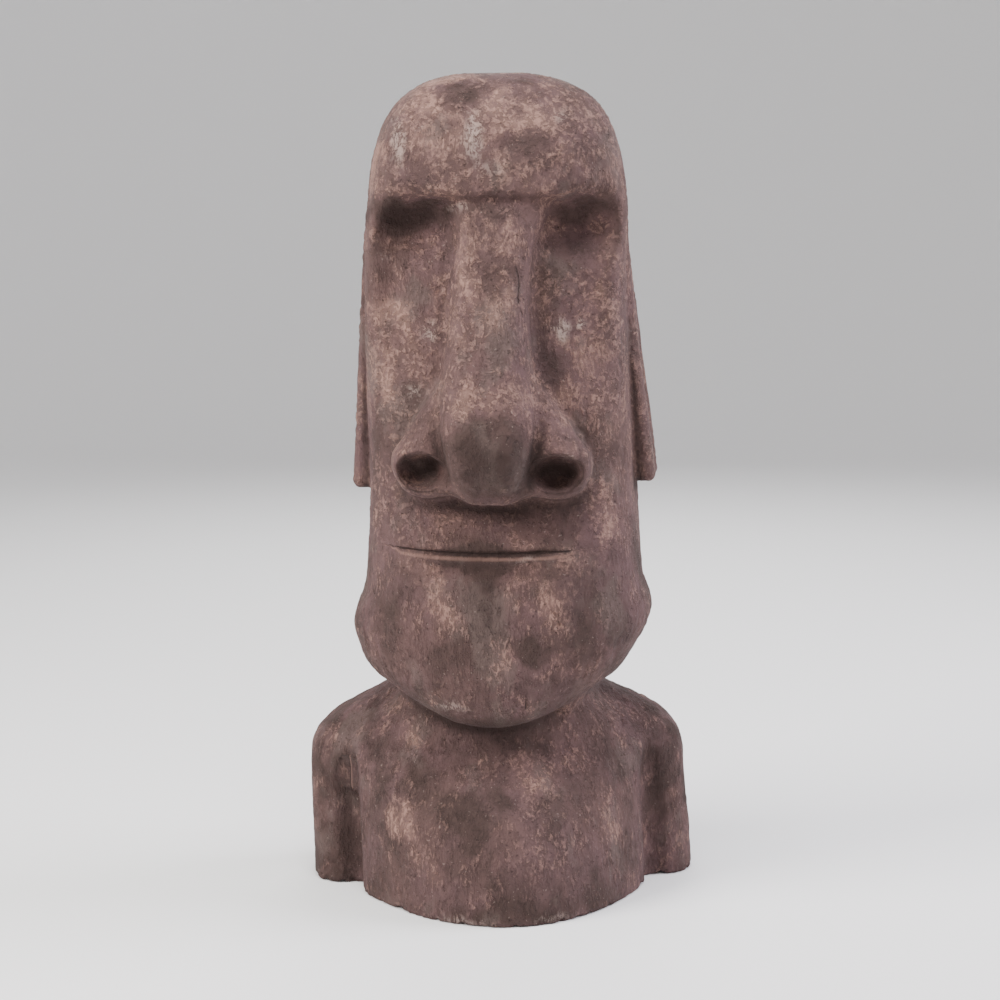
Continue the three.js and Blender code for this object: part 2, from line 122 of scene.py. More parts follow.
def hump(offset: Array, half_width: float) -> Array:
    """1 in the middle of a band and 0 outside it, with round shoulders."""
    share = np.clip(np.abs(offset) / half_width, 0, 1)
    return (1 - share * share) ** 2


def melt(a: Array, b: Array, blend: Array) -> Array:
    """The join of two fields, with a fillet as wide as blend."""
    overlap = np.maximum(blend - np.abs(a - b), 0) / blend
    return np.minimum(a, b) - overlap * overlap * blend / 4


def keep_common(a: Array, b: Array, blend: float) -> Array:
    """What two fields share, with its edge rounded over the blend."""
    return -melt(-a, -b, blend)


def carve_out(stone: Array, hollow: Array, blend: float) -> Array:
    """A field less a hollow, with a rounded rim."""
    return keep_common(stone, -hollow, blend)


def squared_ball(
    offset: tuple[Array, Array, Array], half: tuple[Array, Array, Array], plan: Array, rise: float
) -> Array:
    """A squared-off ball.

    Args:
        offset: the points, counted from its middle.
        half: half of its width, depth and height.
        plan: how square its outline is, seen from above.
        rise: how squarely it closes upwards.

    Returns:
        The field.
    """
    u, v, w = (np.abs(o / h) for o, h in zip(offset, half))
    flat = np.maximum(u**plan + v**plan, TINY)
    reach = np.maximum((flat ** (rise / plan) + w**rise) ** (1 / rise), TINY)
    share = reach ** (1 - rise)
    sideways = share * flat ** (rise / plan - 1)
    across = sideways * u ** (plan - 1) / half[0]
    along = sideways * v ** (plan - 1) / half[1]
    upwards = share * w ** (rise - 1) / half[2]
    return (reach - 1) / np.maximum(np.sqrt(across**2 + along**2 + upwards**2), TINY)


@dataclass(frozen=True)
class Egg:
    """An egg-shaped hollow or lump: its middle, its radii, and the blend that joins it to the rest."""

    middle: tuple[float, float, float]
    radii: tuple[float, float, float]
    blend: float

    def field(self, x: Array, y: Array, z: Array, squareness: float = 2.0) -> Array:
        """The egg's field, squarer in plan where squareness is over 2."""
        offset = (x - self.middle[0], y - self.middle[1], z - self.middle[2])
        return squared_ball(offset, self.radii, squareness, 2.0)


# ----------------------------------------------------------------------------------------------------
# The form of the figure
# ----------------------------------------------------------------------------------------------------

HEIGHT = 1000.0
BROW_EDGE = 862.0
NOSE_UNDERSIDE = 505.0
MOUTH_LINE = 444.0


@dataclass(frozen=True)
class Brow:
    """The overhang over the eyes, whose edge droops at the temples."""

    setback: Curve = Curve((600, 0), (690, 12), (790, 24), (BROW_EDGE, 28))
    droop: float = 58
    droop_power: int = 6
    half_width: float = 153
    undercut: tuple[float, float] = (-2, 16)
    temple: tuple[float, float] = (112, 152)

    def depth(self, side: Array, z: Array) -> Array:
        """How far the face stands back under the brow.

        Args:
            side: how far each point lies from the middle of the face.
            z: its height.

        Returns:
            The depth at each point.
        """
        edge = BROW_EDGE - self.droop * (side / self.half_width) ** self.droop_power
        under = ramp(edge - z, *self.undercut)
        return self.setback(z) * under * (1 - ramp(side, *self.temple))


@dataclass(frozen=True)
class Mouth:
    """One scored line with thin lips, on a muzzle that stands forward of the cheeks."""

    half_width: float = 99
    middle: float = -13
    corner_lift: float = 3
    score_depth: float = 3
    score_half_height: float = 5
    score_fade: float = 14
    lips_fade: float = 52
    lower_lip: tuple[float, float, float] = (-7, 6, 3)
    upper_lip: tuple[float, float, float] = (10, 12, 1.5)
    channel: tuple[float, float, float] = (-22, 13, -5)
    muzzle_half_width: float = 112
    muzzle_fold: float = 9
    muzzle_stands: float = 4
    muzzle_top: float = 500
    muzzle_bottom: float = 300

    def above(self, x: Array, z: Array) -> Array:
        """The height over the mouth's line."""
        return z - MOUTH_LINE - self.corner_lift * ((x - self.middle) / self.half_width) ** 2

    def depth(self, x: Array, z: Array) -> Array:
        """How far the face stands back at the mouth. Lips and muzzle stand forward instead.

        Args:
            x: how far across the face each point lies.
            z: its height.

        Returns:
            The depth at each point.
        """
        aside = np.abs(x - self.middle)
        above = self.above(x, z)
        scored = 1 - ramp(aside, self.half_width - self.score_fade, self.half_width)
        lipped = 1 - ramp(aside, self.half_width - self.lips_fade, self.half_width)
        score = self.score_depth * hump(above, self.score_half_height)
        lips = sum(
            stands * hump(above - place, half_height)
            for place, half_height, stands in (self.lower_lip, self.upper_lip, self.channel)
        )
        outer, inner = self.muzzle_half_width + self.muzzle_fold, self.muzzle_half_width - self.muzzle_fold
        middle = (self.muzzle_top + self.muzzle_bottom) / 2
        muzzle = (1 - ramp(aside, inner, outer)) * hump(z - middle, self.muzzle_top - middle)
        return scored * score - lipped * lips - self.muzzle_stands * muzzle


@dataclass(frozen=True)
class Skull:
    """The long head, closed by a squared dome above and cut off flat at the chin."""

    half_width: Curve = Curve(
        (235, 124), (255, 136), (290, 156), (322, 171), (352, 181), (400, 167), (480, 162), (620, 159),
        (810, 155), (925, 151),
    )
    front: Curve = Curve(
        (232, 140), (300, 150), (380, 146), (MOUTH_LINE, 138), (NOSE_UNDERSIDE, 122), (560, 115),
        (700, 118), (BROW_EDGE, 125), (HEIGHT, 122),
    )
    back: Curve = Curve((232, 96), (500, 114), (800, 110), (HEIGHT, 104))
    squareness: Curve = Curve((250, 2.3), (400, 2.7), (600, 3.3), (850, 3.7))
    dome_spring: float = 820
    dome_squareness: float = 3
    jaw_tilt: float = 0.04
    chin_underside: Curve = Curve((0, 226), (35, 230), (75, 244), (115, 262), (135, 268))
    chin_rounding: float = 38
    carving: tuple[float, float] = (10, 60)
    socket: Egg = Egg((98, -124, 822), (62, 54, 40), 20)
    brow: Brow = Brow()
    mouth: Mouth = Mouth()

    def field(self, x: Array, y: Array, z: Array) -> Array:
        """The skull's field in the face's own frame.

        Args:
            x: how far across each point lies.
            y: how far behind the axis.
            z: its height.

        Returns:
            The field.
        """
        carved = ramp(-y, *self.carving) * (self.brow.depth(np.abs(x), z) + self.mouth.depth(x, z))
        front, back = -self.front(z), self.back(z)
        offset = (x, y - carved - (front + back) / 2, np.maximum(z - self.dome_spring, 0))
        half = (self.half_width(z - self.jaw_tilt * x), (back - front) / 2, HEIGHT - self.dome_spring)
        shell = squared_ball(offset, half, self.squareness(z), self.dome_squareness)
        stone = keep_common(shell, self.chin_underside(np.abs(x)) - z, self.chin_rounding)
        return carve_out(stone, self.socket.field(np.abs(x), y, z), self.socket.blend)


@dataclass(frozen=True)
class Nose:
    """A ridge that widens and comes forward down to the tip, with a wing and a nostril on each side."""

    half_width: Curve = Curve((508, 46), (550, 53), (596, 61), (650, 56), (730, 48), (800, 48), (870, 60))
    front: Curve = Curve((508, 184), (552, 195), (592, 186), (655, 164), (750, 141), (850, 120), (880, 104))
    root: float = -60
    squareness: float = 3.8
    tip_rounding: float = 34
    blend: float = 12
    wing_top: tuple[float, float, float] = (50, -116, 632)
    wing_bottom: tuple[float, float, float] = (77, -124, 549)
    wing_radii: tuple[float, float] = (14, 41)
    wing_blend: float = 9
    base: Egg = Egg((0, -120, 525), (96, 44, 15), 12)
    nostril: Egg = Egg((80, -164, 542), (31, 42, 22), 8)

    def ridge(self, x: Array, y: Array, z: Array) -> Array:
        """The field of the ridge and the tip.

        Args:
            x: how far across the face each point lies.
            y: how far behind the axis.
            z: its height.

        Returns:
            The field.
        """
        half = (self.half_width(z), self.front(z) + self.root, HEIGHT)
        column = squared_ball((x, y - self.root, np.zeros_like(z)), half, self.squareness, 2.0)
        below_brow = keep_common(column, z - BROW_EDGE, self.blend)
        return keep_common(below_brow, NOSE_UNDERSIDE - z, self.tip_rounding)

    def wing(self, side: Array, y: Array, z: Array) -> Array:
        """The field of a wing: a taper with round ends, thickest at the bottom.

        Args:
            side: how far each point lies from the middle of the face.
            y: how far behind the axis.
            z: its height.

        Returns:
            The field.
        """
        top, bottom = np.array(self.wing_top), np.array(self.wing_bottom)
        axis = bottom - top
        from_top = np.stack((side, y, z), axis=-1) - top
        along = np.clip(from_top @ axis / (axis @ axis), 0, 1)
        off_axis = np.linalg.norm(from_top - along[..., None] * axis, axis=-1)
        return off_axis - mix(*self.wing_radii, along)

    def field(self, x: Array, y: Array, z: Array) -> Array:
        """The whole nose with its nostrils.

        Args:
            x: how far across the face each point lies.
            y: how far behind the axis.
            z: its height.

        Returns:
            The field.
        """
        side = np.abs(x)
        winged = melt(self.ridge(x, y, z), self.wing(side, y, z), self.wing_blend)
        whole = melt(winged, self.base.field(x, y, z, self.squareness), self.base.blend)
        return carve_out(whole, self.nostril.field(side, y, z), self.nostril.blend)


@dataclass(frozen=True)
class Ears:
    """Long slabs down the sides of the head, set outwards at the lobes, each with a channel."""

    top: float = 852
    bottom: float = 507
    outer_top: float = 153
    outer_bottom: float = 186
    half_thickness: float = 22
    half_depth: Curve = Curve((507, 34), (600, 36), (852, 44))
    middle_y: float = 8
    rounding: float = 11
    lift: float = 5.6
    channel_radii: tuple[float, float, float] = (9, 13, 135)
    channel_height: float = 655
    channel_blend: float = 6

    def field(self, x: Array, y: Array, z: Array) -> Array:
        """Both ears' field in the face's own frame.

        Args:
            x: how far across each point lies.
            y: how far behind the axis.
            z: its height.

        Returns:
            The field.
        """
        side, z = np.abs(x), z - np.sign(x) * self.lift
        down = np.clip((z - self.bottom) / (self.top - self.bottom), 0, 1)
        outer = mix(self.outer_bottom, self.outer_top, down)
        half_height = (self.top - self.bottom) / 2
        past = (
            np.abs(side - outer + self.half_thickness) - self.half_thickness + self.rounding,
            np.abs(y - self.middle_y) - self.half_depth(z) + self.rounding,
            np.abs(z - self.bottom - half_height) - half_height + self.rounding,
        )
        beyond = np.sqrt(sum(np.maximum(p, 0) ** 2 for p in past))
        slab = beyond + np.minimum(np.maximum.reduce(past), 0) - self.rounding
        offset = (side - outer, y - self.middle_y, z - self.channel_height)
        return carve_out(slab, squared_ball(offset, self.channel_radii, 2.0, 2.0), self.channel_blend)


@dataclass(frozen=True)
class Torso:
    """A rounded chest that runs up into the neck, between straight arms under level shoulders."""

    chest_half_width: Curve = Curve((0, 186), (110, 183), (165, 174), (205, 150), (240, 118), (290, 104))
    chest_front: Curve = Curve(
        (0, 178), (60, 173), (110, 157), (150, 129), (180, 101), (205, 87), (290, 80),
    )
    chest_back: Curve = Curve((0, 138), (150, 126), (240, 98), (290, 92))
    chest_forward: Curve = Curve((0, 1.25), (120, 1.35), (240, 2))
    chest_offset: float = -5
    back_rounding: float = 60
    neck_top: float = 300
    neck_rounding: float = 14
    shoulder_half_width: Curve = Curve((0, 240), (150, 236), (240, 234))
    shoulder_half_depth: Curve = Curve((0, 74), (150, 68), (240, 54))
    shoulder_spring: float = 150
    shoulder_top: float = 242
    shoulder_middle_y: float = 66
    shoulder_squareness: float = 4
    shoulder_roundness: float = 2.45
    shoulder_blend: Curve = Curve((60, 14), (170, 60))
    groove: tuple[float, float] = (190, -10)
    groove_radius: float = 15
    groove_blend: float = 16
    groove_runs_out: tuple[float, float] = (140, 225)

    def chest(self, x: Array, y: Array, z: Array) -> Array:
        """The field of chest and neck.

        Args:
            x: how far across each point lies.
            y: how far behind the axis.
            z: its height.

        Returns:
            The field.
        """
        half_width, depth, forward = self.chest_half_width(z), self.chest_front(z), self.chest_forward(z)
        u, v = np.abs(x) / half_width, np.maximum(-y, 0) / depth
        slope = np.hypot(2 * u / half_width, forward * v ** (forward - 1) / depth)
        bulge = (u**2 + v**forward - 1) / np.maximum(slope, 1 / half_width)
        backed = keep_common(bulge, y - self.chest_back(z), self.back_rounding)
        return keep_common(backed, z - self.neck_top, self.neck_rounding)

    def field(self, x: Array, y: Array, z: Array) -> Array:
        """The whole torso's field, counted from its own middle line.

        Args:
            x: how far across each point lies.
            y: how far behind the axis.
            z: its height.

        Returns:
            The field.
        """
        offset = (x, y - self.shoulder_middle_y, np.maximum(z - self.shoulder_spring, 0))
        rise = self.shoulder_top - self.shoulder_spring
        half = (self.shoulder_half_width(z), self.shoulder_half_depth(z), rise)
        shoulders = squared_ball(offset, half, self.shoulder_squareness, self.shoulder_roundness)
        body = melt(self.chest(x - self.chest_offset, y, z), shoulders, self.shoulder_blend(z))
        to_groove = np.hypot(np.abs(x) - self.groove[0], y - self.groove[1])
        radius = self.groove_radius * (1 - 2 * ramp(z, *self.groove_runs_out))
        return carve_out(body, to_groove - radius, self.groove_blend)


@dataclass(frozen=True)
class Figure:
    """The whole figure: the head, turned and leaning a little, on its shoulders."""

    skull: Skull = Skull()
    nose: Nose = Nose()
    ears: Ears = Ears()
    torso: Torso = Torso()
    turn: Curve = Curve((190, 0), (235, 10), (600, 10), (760, 7), (BROW_EDGE, 0))
    lean: Curve = Curve((0, 4), (150, -2), (290, 0), (350, 5), (430, 7), (500, 6), (820, -2))
    torso_lean_top: float = 150
    ear_blend: float = 5
    neck_blend: float = 10
    rim_rounding: float = 5
    slope_step: float = 0.05

    def face_frame(self, points: Array) -> tuple[Array, Array, Array]:
        """The points in the face's own frame.

        Args:
            points: points of the statue.

        Returns:
            How far across, how far along and how high each of them lies.
        """
        x, y, z = points.T
        turn = np.radians(self.turn(z))
        offset = x - self.lean(z)
        return offset * np.cos(turn) - y * np.sin(turn), offset * np.sin(turn) + y * np.cos(turn), z

    def field(self, points: Array) -> Array:
        """The statue's field.

        Args:
            points: where it is asked for.

        Returns:
            One value for each point.
        """
        x, y, z = self.face_frame(points)
        head = melt(self.skull.field(x, y, z), self.nose.field(x, y, z), self.nose.blend)
        head = melt(head, self.ears.field(x, y, z), self.ear_blend)
        lean = self.lean(np.minimum(z, self.torso_lean_top))
        torso = self.torso.field(points[:, 0] - lean, points[:, 1], z)
        return keep_common(melt(head, torso, self.neck_blend), -z, self.rim_rounding)

    def slope(self, points: Array, depth: Array) -> Array:
        """The field's gradient, from the depth at the points and a short step along each axis."""
        rises = [self.field(points + self.slope_step * axis) - depth for axis in np.eye(3)]
        return np.stack(rises, axis=1) / self.slope_step


# ----------------------------------------------------------------------------------------------------
# The tooled and weathered surface, and where shade is painted on it
# ----------------------------------------------------------------------------------------------------


class Grain:
    """Seeded gradient noise in space, between about -1 and 1."""

    table = 256
    gain = 1.6
    layers = (1.0, 0.5, 0.25)

    def __init__(self, seed: int) -> None:
        """Draws the table of directions that the noise is made from.

        Args:
            seed: what the draw starts from.
        """
        draw = np.random.default_rng(seed)
        directions = draw.normal(size=(self.table, 3))
        self.directions = directions / np.linalg.norm(directions, axis=1, keepdims=True)
        self.order = draw.permutation(self.table)

    def __call__(self, points: Array, size: float, stretch: Sequence[float] = (1, 1, 1)) -> Array:
        """The noise at these points.

        Args:
            points: where it is asked for.
            size: the size of its lumps.
            stretch: how much longer the lumps are along each axis.

        Returns:
            One value for each point.
        """
        scaled = points / (size * np.array(stretch, dtype=float))
        cell = np.floor(scaled).astype(int)
        inside = scaled - cell
        fade = inside**3 * (inside * (inside * 6 - 15) + 10)
        total = np.zeros(len(points))
        for corner in np.ndindex(2, 2, 2):
            x, y, z = ((cell + corner) % self.table).T
            row = self.order[(self.order[x] + y) % self.table]
            direction = self.directions[self.order[(row + z) % self.table]]
            share = np.prod(np.where(corner, fade, 1 - fade), axis=1)
            total += share * np.einsum("ij,ij->i", direction, inside - corner)
        return self.gain * total

    def rough(self, points: Array, size: float, stretch: Sequence[float] = (1, 1, 1)) -> Array:
        """The noise with two finer layers on it, each half as strong."""
        layers = (self(points, size * share, stretch) * share for share in self.layers)
        return sum(layers) / sum(self.layers[:2])

    def push(self, points: Array, size: float, reach: float, shifts: Sequence[float]) -> Array:
        """A push in space for each point, made of three noises.

        Args:
            points: where it is asked for.
            size: the size of the noises' lumps.
            reach: how strong it is.
            shifts: how far the three noises are shifted from each other.

        Returns:
            One vector for each point.
        """
        return reach * np.stack([self(points + shift, size) for shift in shifts], axis=1)


@dataclass(frozen=True)
class Lumps:
    """A layer of noise on the skin: the size and the height of its lumps, its shift and its stretch."""

    size: float
    height: float = 1.0
    shift: float = 0.0
    stretch: tuple[float, float, float] = (1, 1, 1)

    def at(self, grain: Grain, points: Array) -> Array:
        """The noise at these points, before its height."""
        return grain(points + self.shift, self.size, self.stretch)


@dataclass(frozen=True)
class Dent:
    """A gouge in the front of the stone: its middle, half width, half height, depth and lean."""

    x: float
    z: float
    half_width: float
    half_height: float
    depth: float
    lean: float = 0.0


@dataclass(frozen=True)
class Tooling:
    """What carving and weather left on the form, in thousandths of the height."""

    seed: int = 11
    uneven: Lumps = Lumps(75, 1.1, 0, (1, 1, 1.5))
    lumps: Lumps = Lumps(24, 0.7, 50)
    pits: Lumps = Lumps(8, 1.4)
    strokes: Lumps = Lumps(7, 1.1, 300, (1, 1, 5))
    pit_sharpness: float = 2.6
    stroke_sharpness: float = 2.2
    stroke_share: float = 0.8
    swirl: Lumps = Lumps(15, 3.0)
    swirl_shifts: tuple[float, float, float] = (70, 140, 210)
    pit_patches: Lumps = Lumps(46, 1, 400, (1, 1, 1.3))
    pit_patches_set_in: tuple[float, float] = (-0.25, 0.25)
    pits_on_torso: float = 0.55
    pits_grow: tuple[float, float] = (420, 640)
    comb_patches: Lumps = Lumps(55, 1, 900)
    comb_patches_set_in: tuple[float, float] = (-0.1, 0.35)
    combed_above: float = 0.5
    combed_below: tuple[float, float] = (400, 470)
    chips: Lumps = Lumps(13, 3.0, 600)
    chips_set_in: tuple[float, float] = (0.1, 0.45)
    chip_height: float = 9
    dents: tuple[Dent, ...] = (
        Dent(-75, 748, 5, 9, 2.6, 0.4),
        Dent(-10, 372, 4, 14, 2.2, 0.15),
        Dent(2, 368, 3, 12, 1.6, 0.1),
        Dent(54, 375, 4, 9, 2.4, -0.9),
        Dent(60, 362, 5, 5, 2.0),
        Dent(-96, 392, 4, 6, 2.0),
        Dent(22, 268, 3, 13, 2.2, 0.1),
        Dent(-38, 246, 12, 4, 1.4),
        Dent(-118, 288, 5, 6, 2.0),
        Dent(20, 836, 4, 3, 1.6),
        Dent(-58, 846, 5, 4, 1.8),
        Dent(70, 520, 4, 4, 1.6),
        Dent(-46, 585, 3, 4, 1.6),
        Dent(78, 600, 3, 7, 1.6, -0.7),
        Dent(150, 205, 6, 8, 2.2),
        Dent(-160, 190, 9, 6, 2.0),
    )

    def pitted(self, points: Array, grain: Grain) -> Array:
        """How strongly the stone is pitted: in patches, on the head more than on the torso."""
        patch = ramp(self.pit_patches.at(grain, points), *self.pit_patches_set_in)
        return patch * mix(self.pits_on_torso, 1.0, ramp(points[:, 2], *self.pits_grow))

    def combed(self, points: Array, grain: Grain) -> Array:
        """How strongly it is combed by upright strokes: on chin and torso, and in patches higher up.

        Args:
            points: where it is asked for.
            grain: the noise that makes the patches.

        Returns:
            A share from 0 to 1 for each point.
        """
        patch = ramp(self.comb_patches.at(grain, points), *self.comb_patches_set_in)
        above, below = patch * self.combed_above, mix(patch, 1.0, self.combed_above)
        return mix(above, below, 1 - ramp(points[:, 2], *self.combed_below))

    def dented(self, points: Array) -> Array:
        """The depth of the dents in the front.

        Args:
            points: where it is asked for.

        Returns:
            One depth for each point.
        """
        x, y, z = points.T
        depth = np.zeros(len(points))
        for dent in self.dents:
            aside = (x - dent.x - dent.lean * (z - dent.z)) / dent.half_width
            away = np.hypot(aside, (z - dent.z) / dent.half_height)
            depth = np.maximum(depth, dent.depth * hump(away, 1.0) * (y < 0))
        return depth

    def relief(self, points: Array) -> tuple[Array, Array]:
        """How far the surface stands over the plain form, and how much of that is raised fine relief.

        Args:
            points: the points of the plain form.

        Returns:
            The height over the form, and the fine relief from about -1, hollow, to 1, raised.
        """
        grain = Grain(self.seed)
        bent = points + grain.push(points, self.swirl.size, self.swirl.height, self.swirl_shifts)
        pits = np.clip(self.pit_sharpness * self.pits.at(grain, bent), -1, 1)
        pits = self.pitted(points, grain) * pits
        strokes = np.clip(self.stroke_sharpness * self.strokes.at(grain, bent), -1, 1)
        strokes = self.combed(points, grain) * strokes
        uneven = self.uneven.height * self.uneven.at(grain, points)
        lumps = self.lumps.height * grain.rough(points + self.lumps.shift, self.lumps.size)
        chipped = ramp(self.chips.at(grain, points), *self.chips_set_in)
        chipped = self.chips.height * chipped * (1 - ramp(points[:, 2], 0, self.chip_height))
        fine = (self.pits.height * pits + self.strokes.height * strokes) / 2
        height = uneven + lumps + fine - chipped - self.dented(points)
        return height, np.clip(pits + self.stroke_share * strokes, -1, 1)


@dataclass(frozen=True)
class StainAndShade:
    """A pale or dark patch on the front, a few of them painted shade: its middle, its half width and half
    height, and how pale it is.
    """

    x: float
    z: float
    half_width: float
    half_height: float
    paleness: float


@dataclass(frozen=True)
class Scratch:
    """A fine line in the front, from its upper end to its lower one, seen from the front."""

    x: float
    z: float
    end_x: float
    end_z: float


@dataclass(frozen=True)
class WeatheringAndShade:
    """Where the finish is pale, dark, chalky or combed, and where shade is painted: what the stone's shader
    reads at each vertex.
    """

    seed: int = 23
    torn: tuple[tuple[float, float], ...] = ((34, 13), (12, 5))
    smear_torn: tuple[float, float] = (14, 6)
    torn_shifts: tuple[float, float, float] = (30, 160, 290)
    broad: Lumps = Lumps(44, 1.15, 0, (1, 1, 1.5))
    broad_drift: float = 2
    front_share: float = 0.45
    # Darker towards the bottom, a little paler at the top.
    by_height: Curve = Curve((0, -0.42), (400, -0.36), (520, 0.0), (780, 0.0), (900, 0.12))
    front: tuple[float, float] = (-10, 50)
    patch_edge: tuple[float, float] = (1.35, 0.35)
    upright_patches: Lumps = Lumps(60, 0.8)
    upright_sets_in: tuple[float, float] = (-0.05, 0.3)
    combed: tuple[float, float] = (470, 380)
    reach: float = 60
    # The tint goes below -1 mostly where shade is painted: under the brow, in the nostrils and over the
    # nose tip.
    darkest: float = 2.0
    stains_and_shade: tuple[StainAndShade, ...] = (
        # Forehead
        StainAndShade(-78, 962, 26, 15, 0.8), StainAndShade(-66, 990, 34, 9, 0.6), StainAndShade(-44, 976, 36, 10, -0.7),
        StainAndShade(16, 984, 40, 12, -0.6), StainAndShade(14, 968, 34, 17, 0.8), StainAndShade(26, 943, 44, 11, 0.6),
        StainAndShade(26, 918, 36, 12, -0.6), StainAndShade(-84, 922, 24, 16, 0.5), StainAndShade(-152, 890, 14, 36, 0.7),
        StainAndShade(-102, 882, 34, 10, -0.4), StainAndShade(110, 905, 22, 36, -0.3), StainAndShade(-10, 888, 50, 9, 0.2),
        # Painted shade under the brow, and in the nostrils
        StainAndShade(-114, 838, 50, 24, -2.0), StainAndShade(92, 838, 44, 14, -1.1), StainAndShade(-100, 547, 26, 12, -1.6),
        StainAndShade(60, 541, 23, 12, -1.6),
        # Nose
        StainAndShade(-44, 768, 16, 24, 0.9), StainAndShade(-8, 842, 46, 17, -0.6), StainAndShade(14, 790, 20, 30, 0.1),
        StainAndShade(-56, 702, 22, 20, 0.4), StainAndShade(-8, 690, 18, 28, -0.6), StainAndShade(-46, 622, 26, 17, 0.8),
        # The first patch here, dark over the nose tip, is partly the stone's darker colour and partly
        # painted shade.
        StainAndShade(-22, 562, 60, 50, -1.5), StainAndShade(-82, 596, 16, 14, 0.3), StainAndShade(30, 640, 14, 30, 0.4),
        # Cheeks
        StainAndShade(-132, 718, 24, 18, 0.6), StainAndShade(-134, 646, 17, 32, 0.9), StainAndShade(-104, 630, 15, 23, -0.8),
        StainAndShade(-154, 558, 12, 46, -0.5), StainAndShade(-136, 778, 24, 24, -0.5), StainAndShade(-142, 800, 10, 30, -0.2),
        StainAndShade(100, 674, 26, 22, 0.8), StainAndShade(56, 666, 20, 28, -0.6), StainAndShade(114, 604, 17, 46, 0.3),
        StainAndShade(84, 790, 28, 24, -0.6), StainAndShade(100, 740, 20, 14, 0.3), StainAndShade(120, 832, 18, 12, 0.3),
        # Mouth, jaw and chin
        StainAndShade(-66, 480, 22, 10, 0.5), StainAndShade(10, 476, 40, 10, -0.2), StainAndShade(-30, 436, 74, 12, -0.7),
        StainAndShade(-80, 372, 32, 34, 0.7), StainAndShade(-26, 388, 20, 46, -1.0), StainAndShade(52, 380, 24, 32, 0.9),
        StainAndShade(14, 418, 24, 11, 0.3), StainAndShade(26, 330, 30, 16, -0.6), StainAndShade(-64, 318, 40, 18, -0.5),
        StainAndShade(0, 312, 22, 12, 0.5), StainAndShade(-138, 350, 16, 36, -0.4), StainAndShade(118, 466, 14, 36, 0.6),
        StainAndShade(130, 346, 12, 26, -0.5), StainAndShade(-156, 328, 8, 18, 0.5), StainAndShade(92, 300, 20, 14, 0.4),
        # Chest
        StainAndShade(-114, 205, 16, 26, 0.9), StainAndShade(-130, 116, 16, 28, 1.0), StainAndShade(-92, 58, 17, 17, 0.6),
        StainAndShade(-158, 190, 14, 17, -0.8), StainAndShade(-106, 166, 20, 14, -0.6), StainAndShade(26, 166, 26, 26, 0.7),
        StainAndShade(76, 188, 21, 26, 0.5), StainAndShade(124, 112, 24, 46, 0.4), StainAndShade(-10, 70, 15, 13, 0.5),
        # The last patch here, dark just under the chin, is painted shade.
        StainAndShade(-56, 122, 30, 30, -0.6), StainAndShade(-30, 232, 60, 16, -0.8),
        # Arms, shoulders and lower rim
        StainAndShade(-216, 190, 8, 28, 0.6), StainAndShade(-190, 150, 9, 60, -0.7), StainAndShade(-198, 236, 24, 14, -0.4),
        StainAndShade(146, 232, 20, 16, -0.7), StainAndShade(206, 196, 12, 26, 0.5), StainAndShade(176, 170, 9, 40, -0.7),
        StainAndShade(204, 130, 9, 24, 0.4), StainAndShade(10, 14, 90, 12, -0.5),
    )
    smears: tuple[StainAndShade, ...] = (
        StainAndShade(-120, 922, 8, 30, 0.7), StainAndShade(-34, 928, 11, 30, 0.9), StainAndShade(-16, 890, 16, 10, 0.4),
        StainAndShade(68, 952, 8, 6, 0.6), StainAndShade(68, 704, 9, 14, 1.2), StainAndShade(88, 708, 6, 5, 1.2),
        StainAndShade(-86, 700, 9, 14, 0.7), StainAndShade(-106, 632, 8, 10, 0.6), StainAndShade(-140, 790, 8, 5, 0.8),
        StainAndShade(-50, 846, 16, 5, 0.5), StainAndShade(-66, 258, 18, 7, 0.6), StainAndShade(20, 438, 20, 4, 0.5),
        StainAndShade(-60, 4, 30, 5, 0.6), StainAndShade(50, 6, 26, 5, 0.5), StainAndShade(70, 560, 7, 5, 0.5),
    )
    cracks: tuple[Scratch, ...] = (
        Scratch(10, 790, 16, 762), Scratch(16, 762, 14, 740), Scratch(14, 740, 21, 718),
        Scratch(21, 718, 21, 690), Scratch(36, 360, 60, 350), Scratch(-28, 380, -20, 352),
        Scratch(22, 288, 20, 258),
    )

    def patches(self, points: Array, stains_and_shade: tuple[StainAndShade, ...]) -> Array:
        """How pale the stains and the painted shade make the front.

        Args:
            points: where it is asked for.
            stains_and_shade: the patches to add up.

        Returns:
            One value for each point.
        """
        x, y, z = points.T
        total = np.zeros(len(points))
        for stain_and_shade_patch in stains_and_shade:
            away = np.hypot((x - stain_and_shade_patch.x) / stain_and_shade_patch.half_width, (z - stain_and_shade_patch.z) / stain_and_shade_patch.half_height)
            total += stain_and_shade_patch.paleness * ramp(away, *self.patch_edge)
        return total * ramp(-y, *self.front)

    def tint(self, points: Array) -> Array:
        """How pale the finish is: 1 in a pale patch, -1 in a dark one, and down to the darkest where shade
        is painted.

        Args:
            points: where it is asked for.

        Returns:
            One value for each point.
        """
        grain = Grain(self.seed)
        torn = sum(grain.push(points, size, reach, self.torn_shifts) for size, reach in self.torn)
        drifted = points + self.broad_drift * torn
        broad = self.broad.height * grain.rough(drifted, self.broad.size, self.broad.stretch)
        share = mix(1.0, self.front_share, ramp(-points[:, 1], *self.front))
        named = self.patches(points + torn, self.stains_and_shade)
        return np.clip(self.by_height(points[:, 2]) + share * broad + named, -self.darkest, 1)

    def chalk(self, points: Array) -> Array:
        """How much of a whitish smear lies at each point.

        Args:
            points: where it is asked for.

        Returns:
            A share from 0 to 1 for each point.
        """
        grain = Grain(self.seed + 1)
        torn = grain.push(points, *self.smear_torn, self.torn_shifts)
        return np.clip(self.patches(points + torn, self.smears), 0, 1)

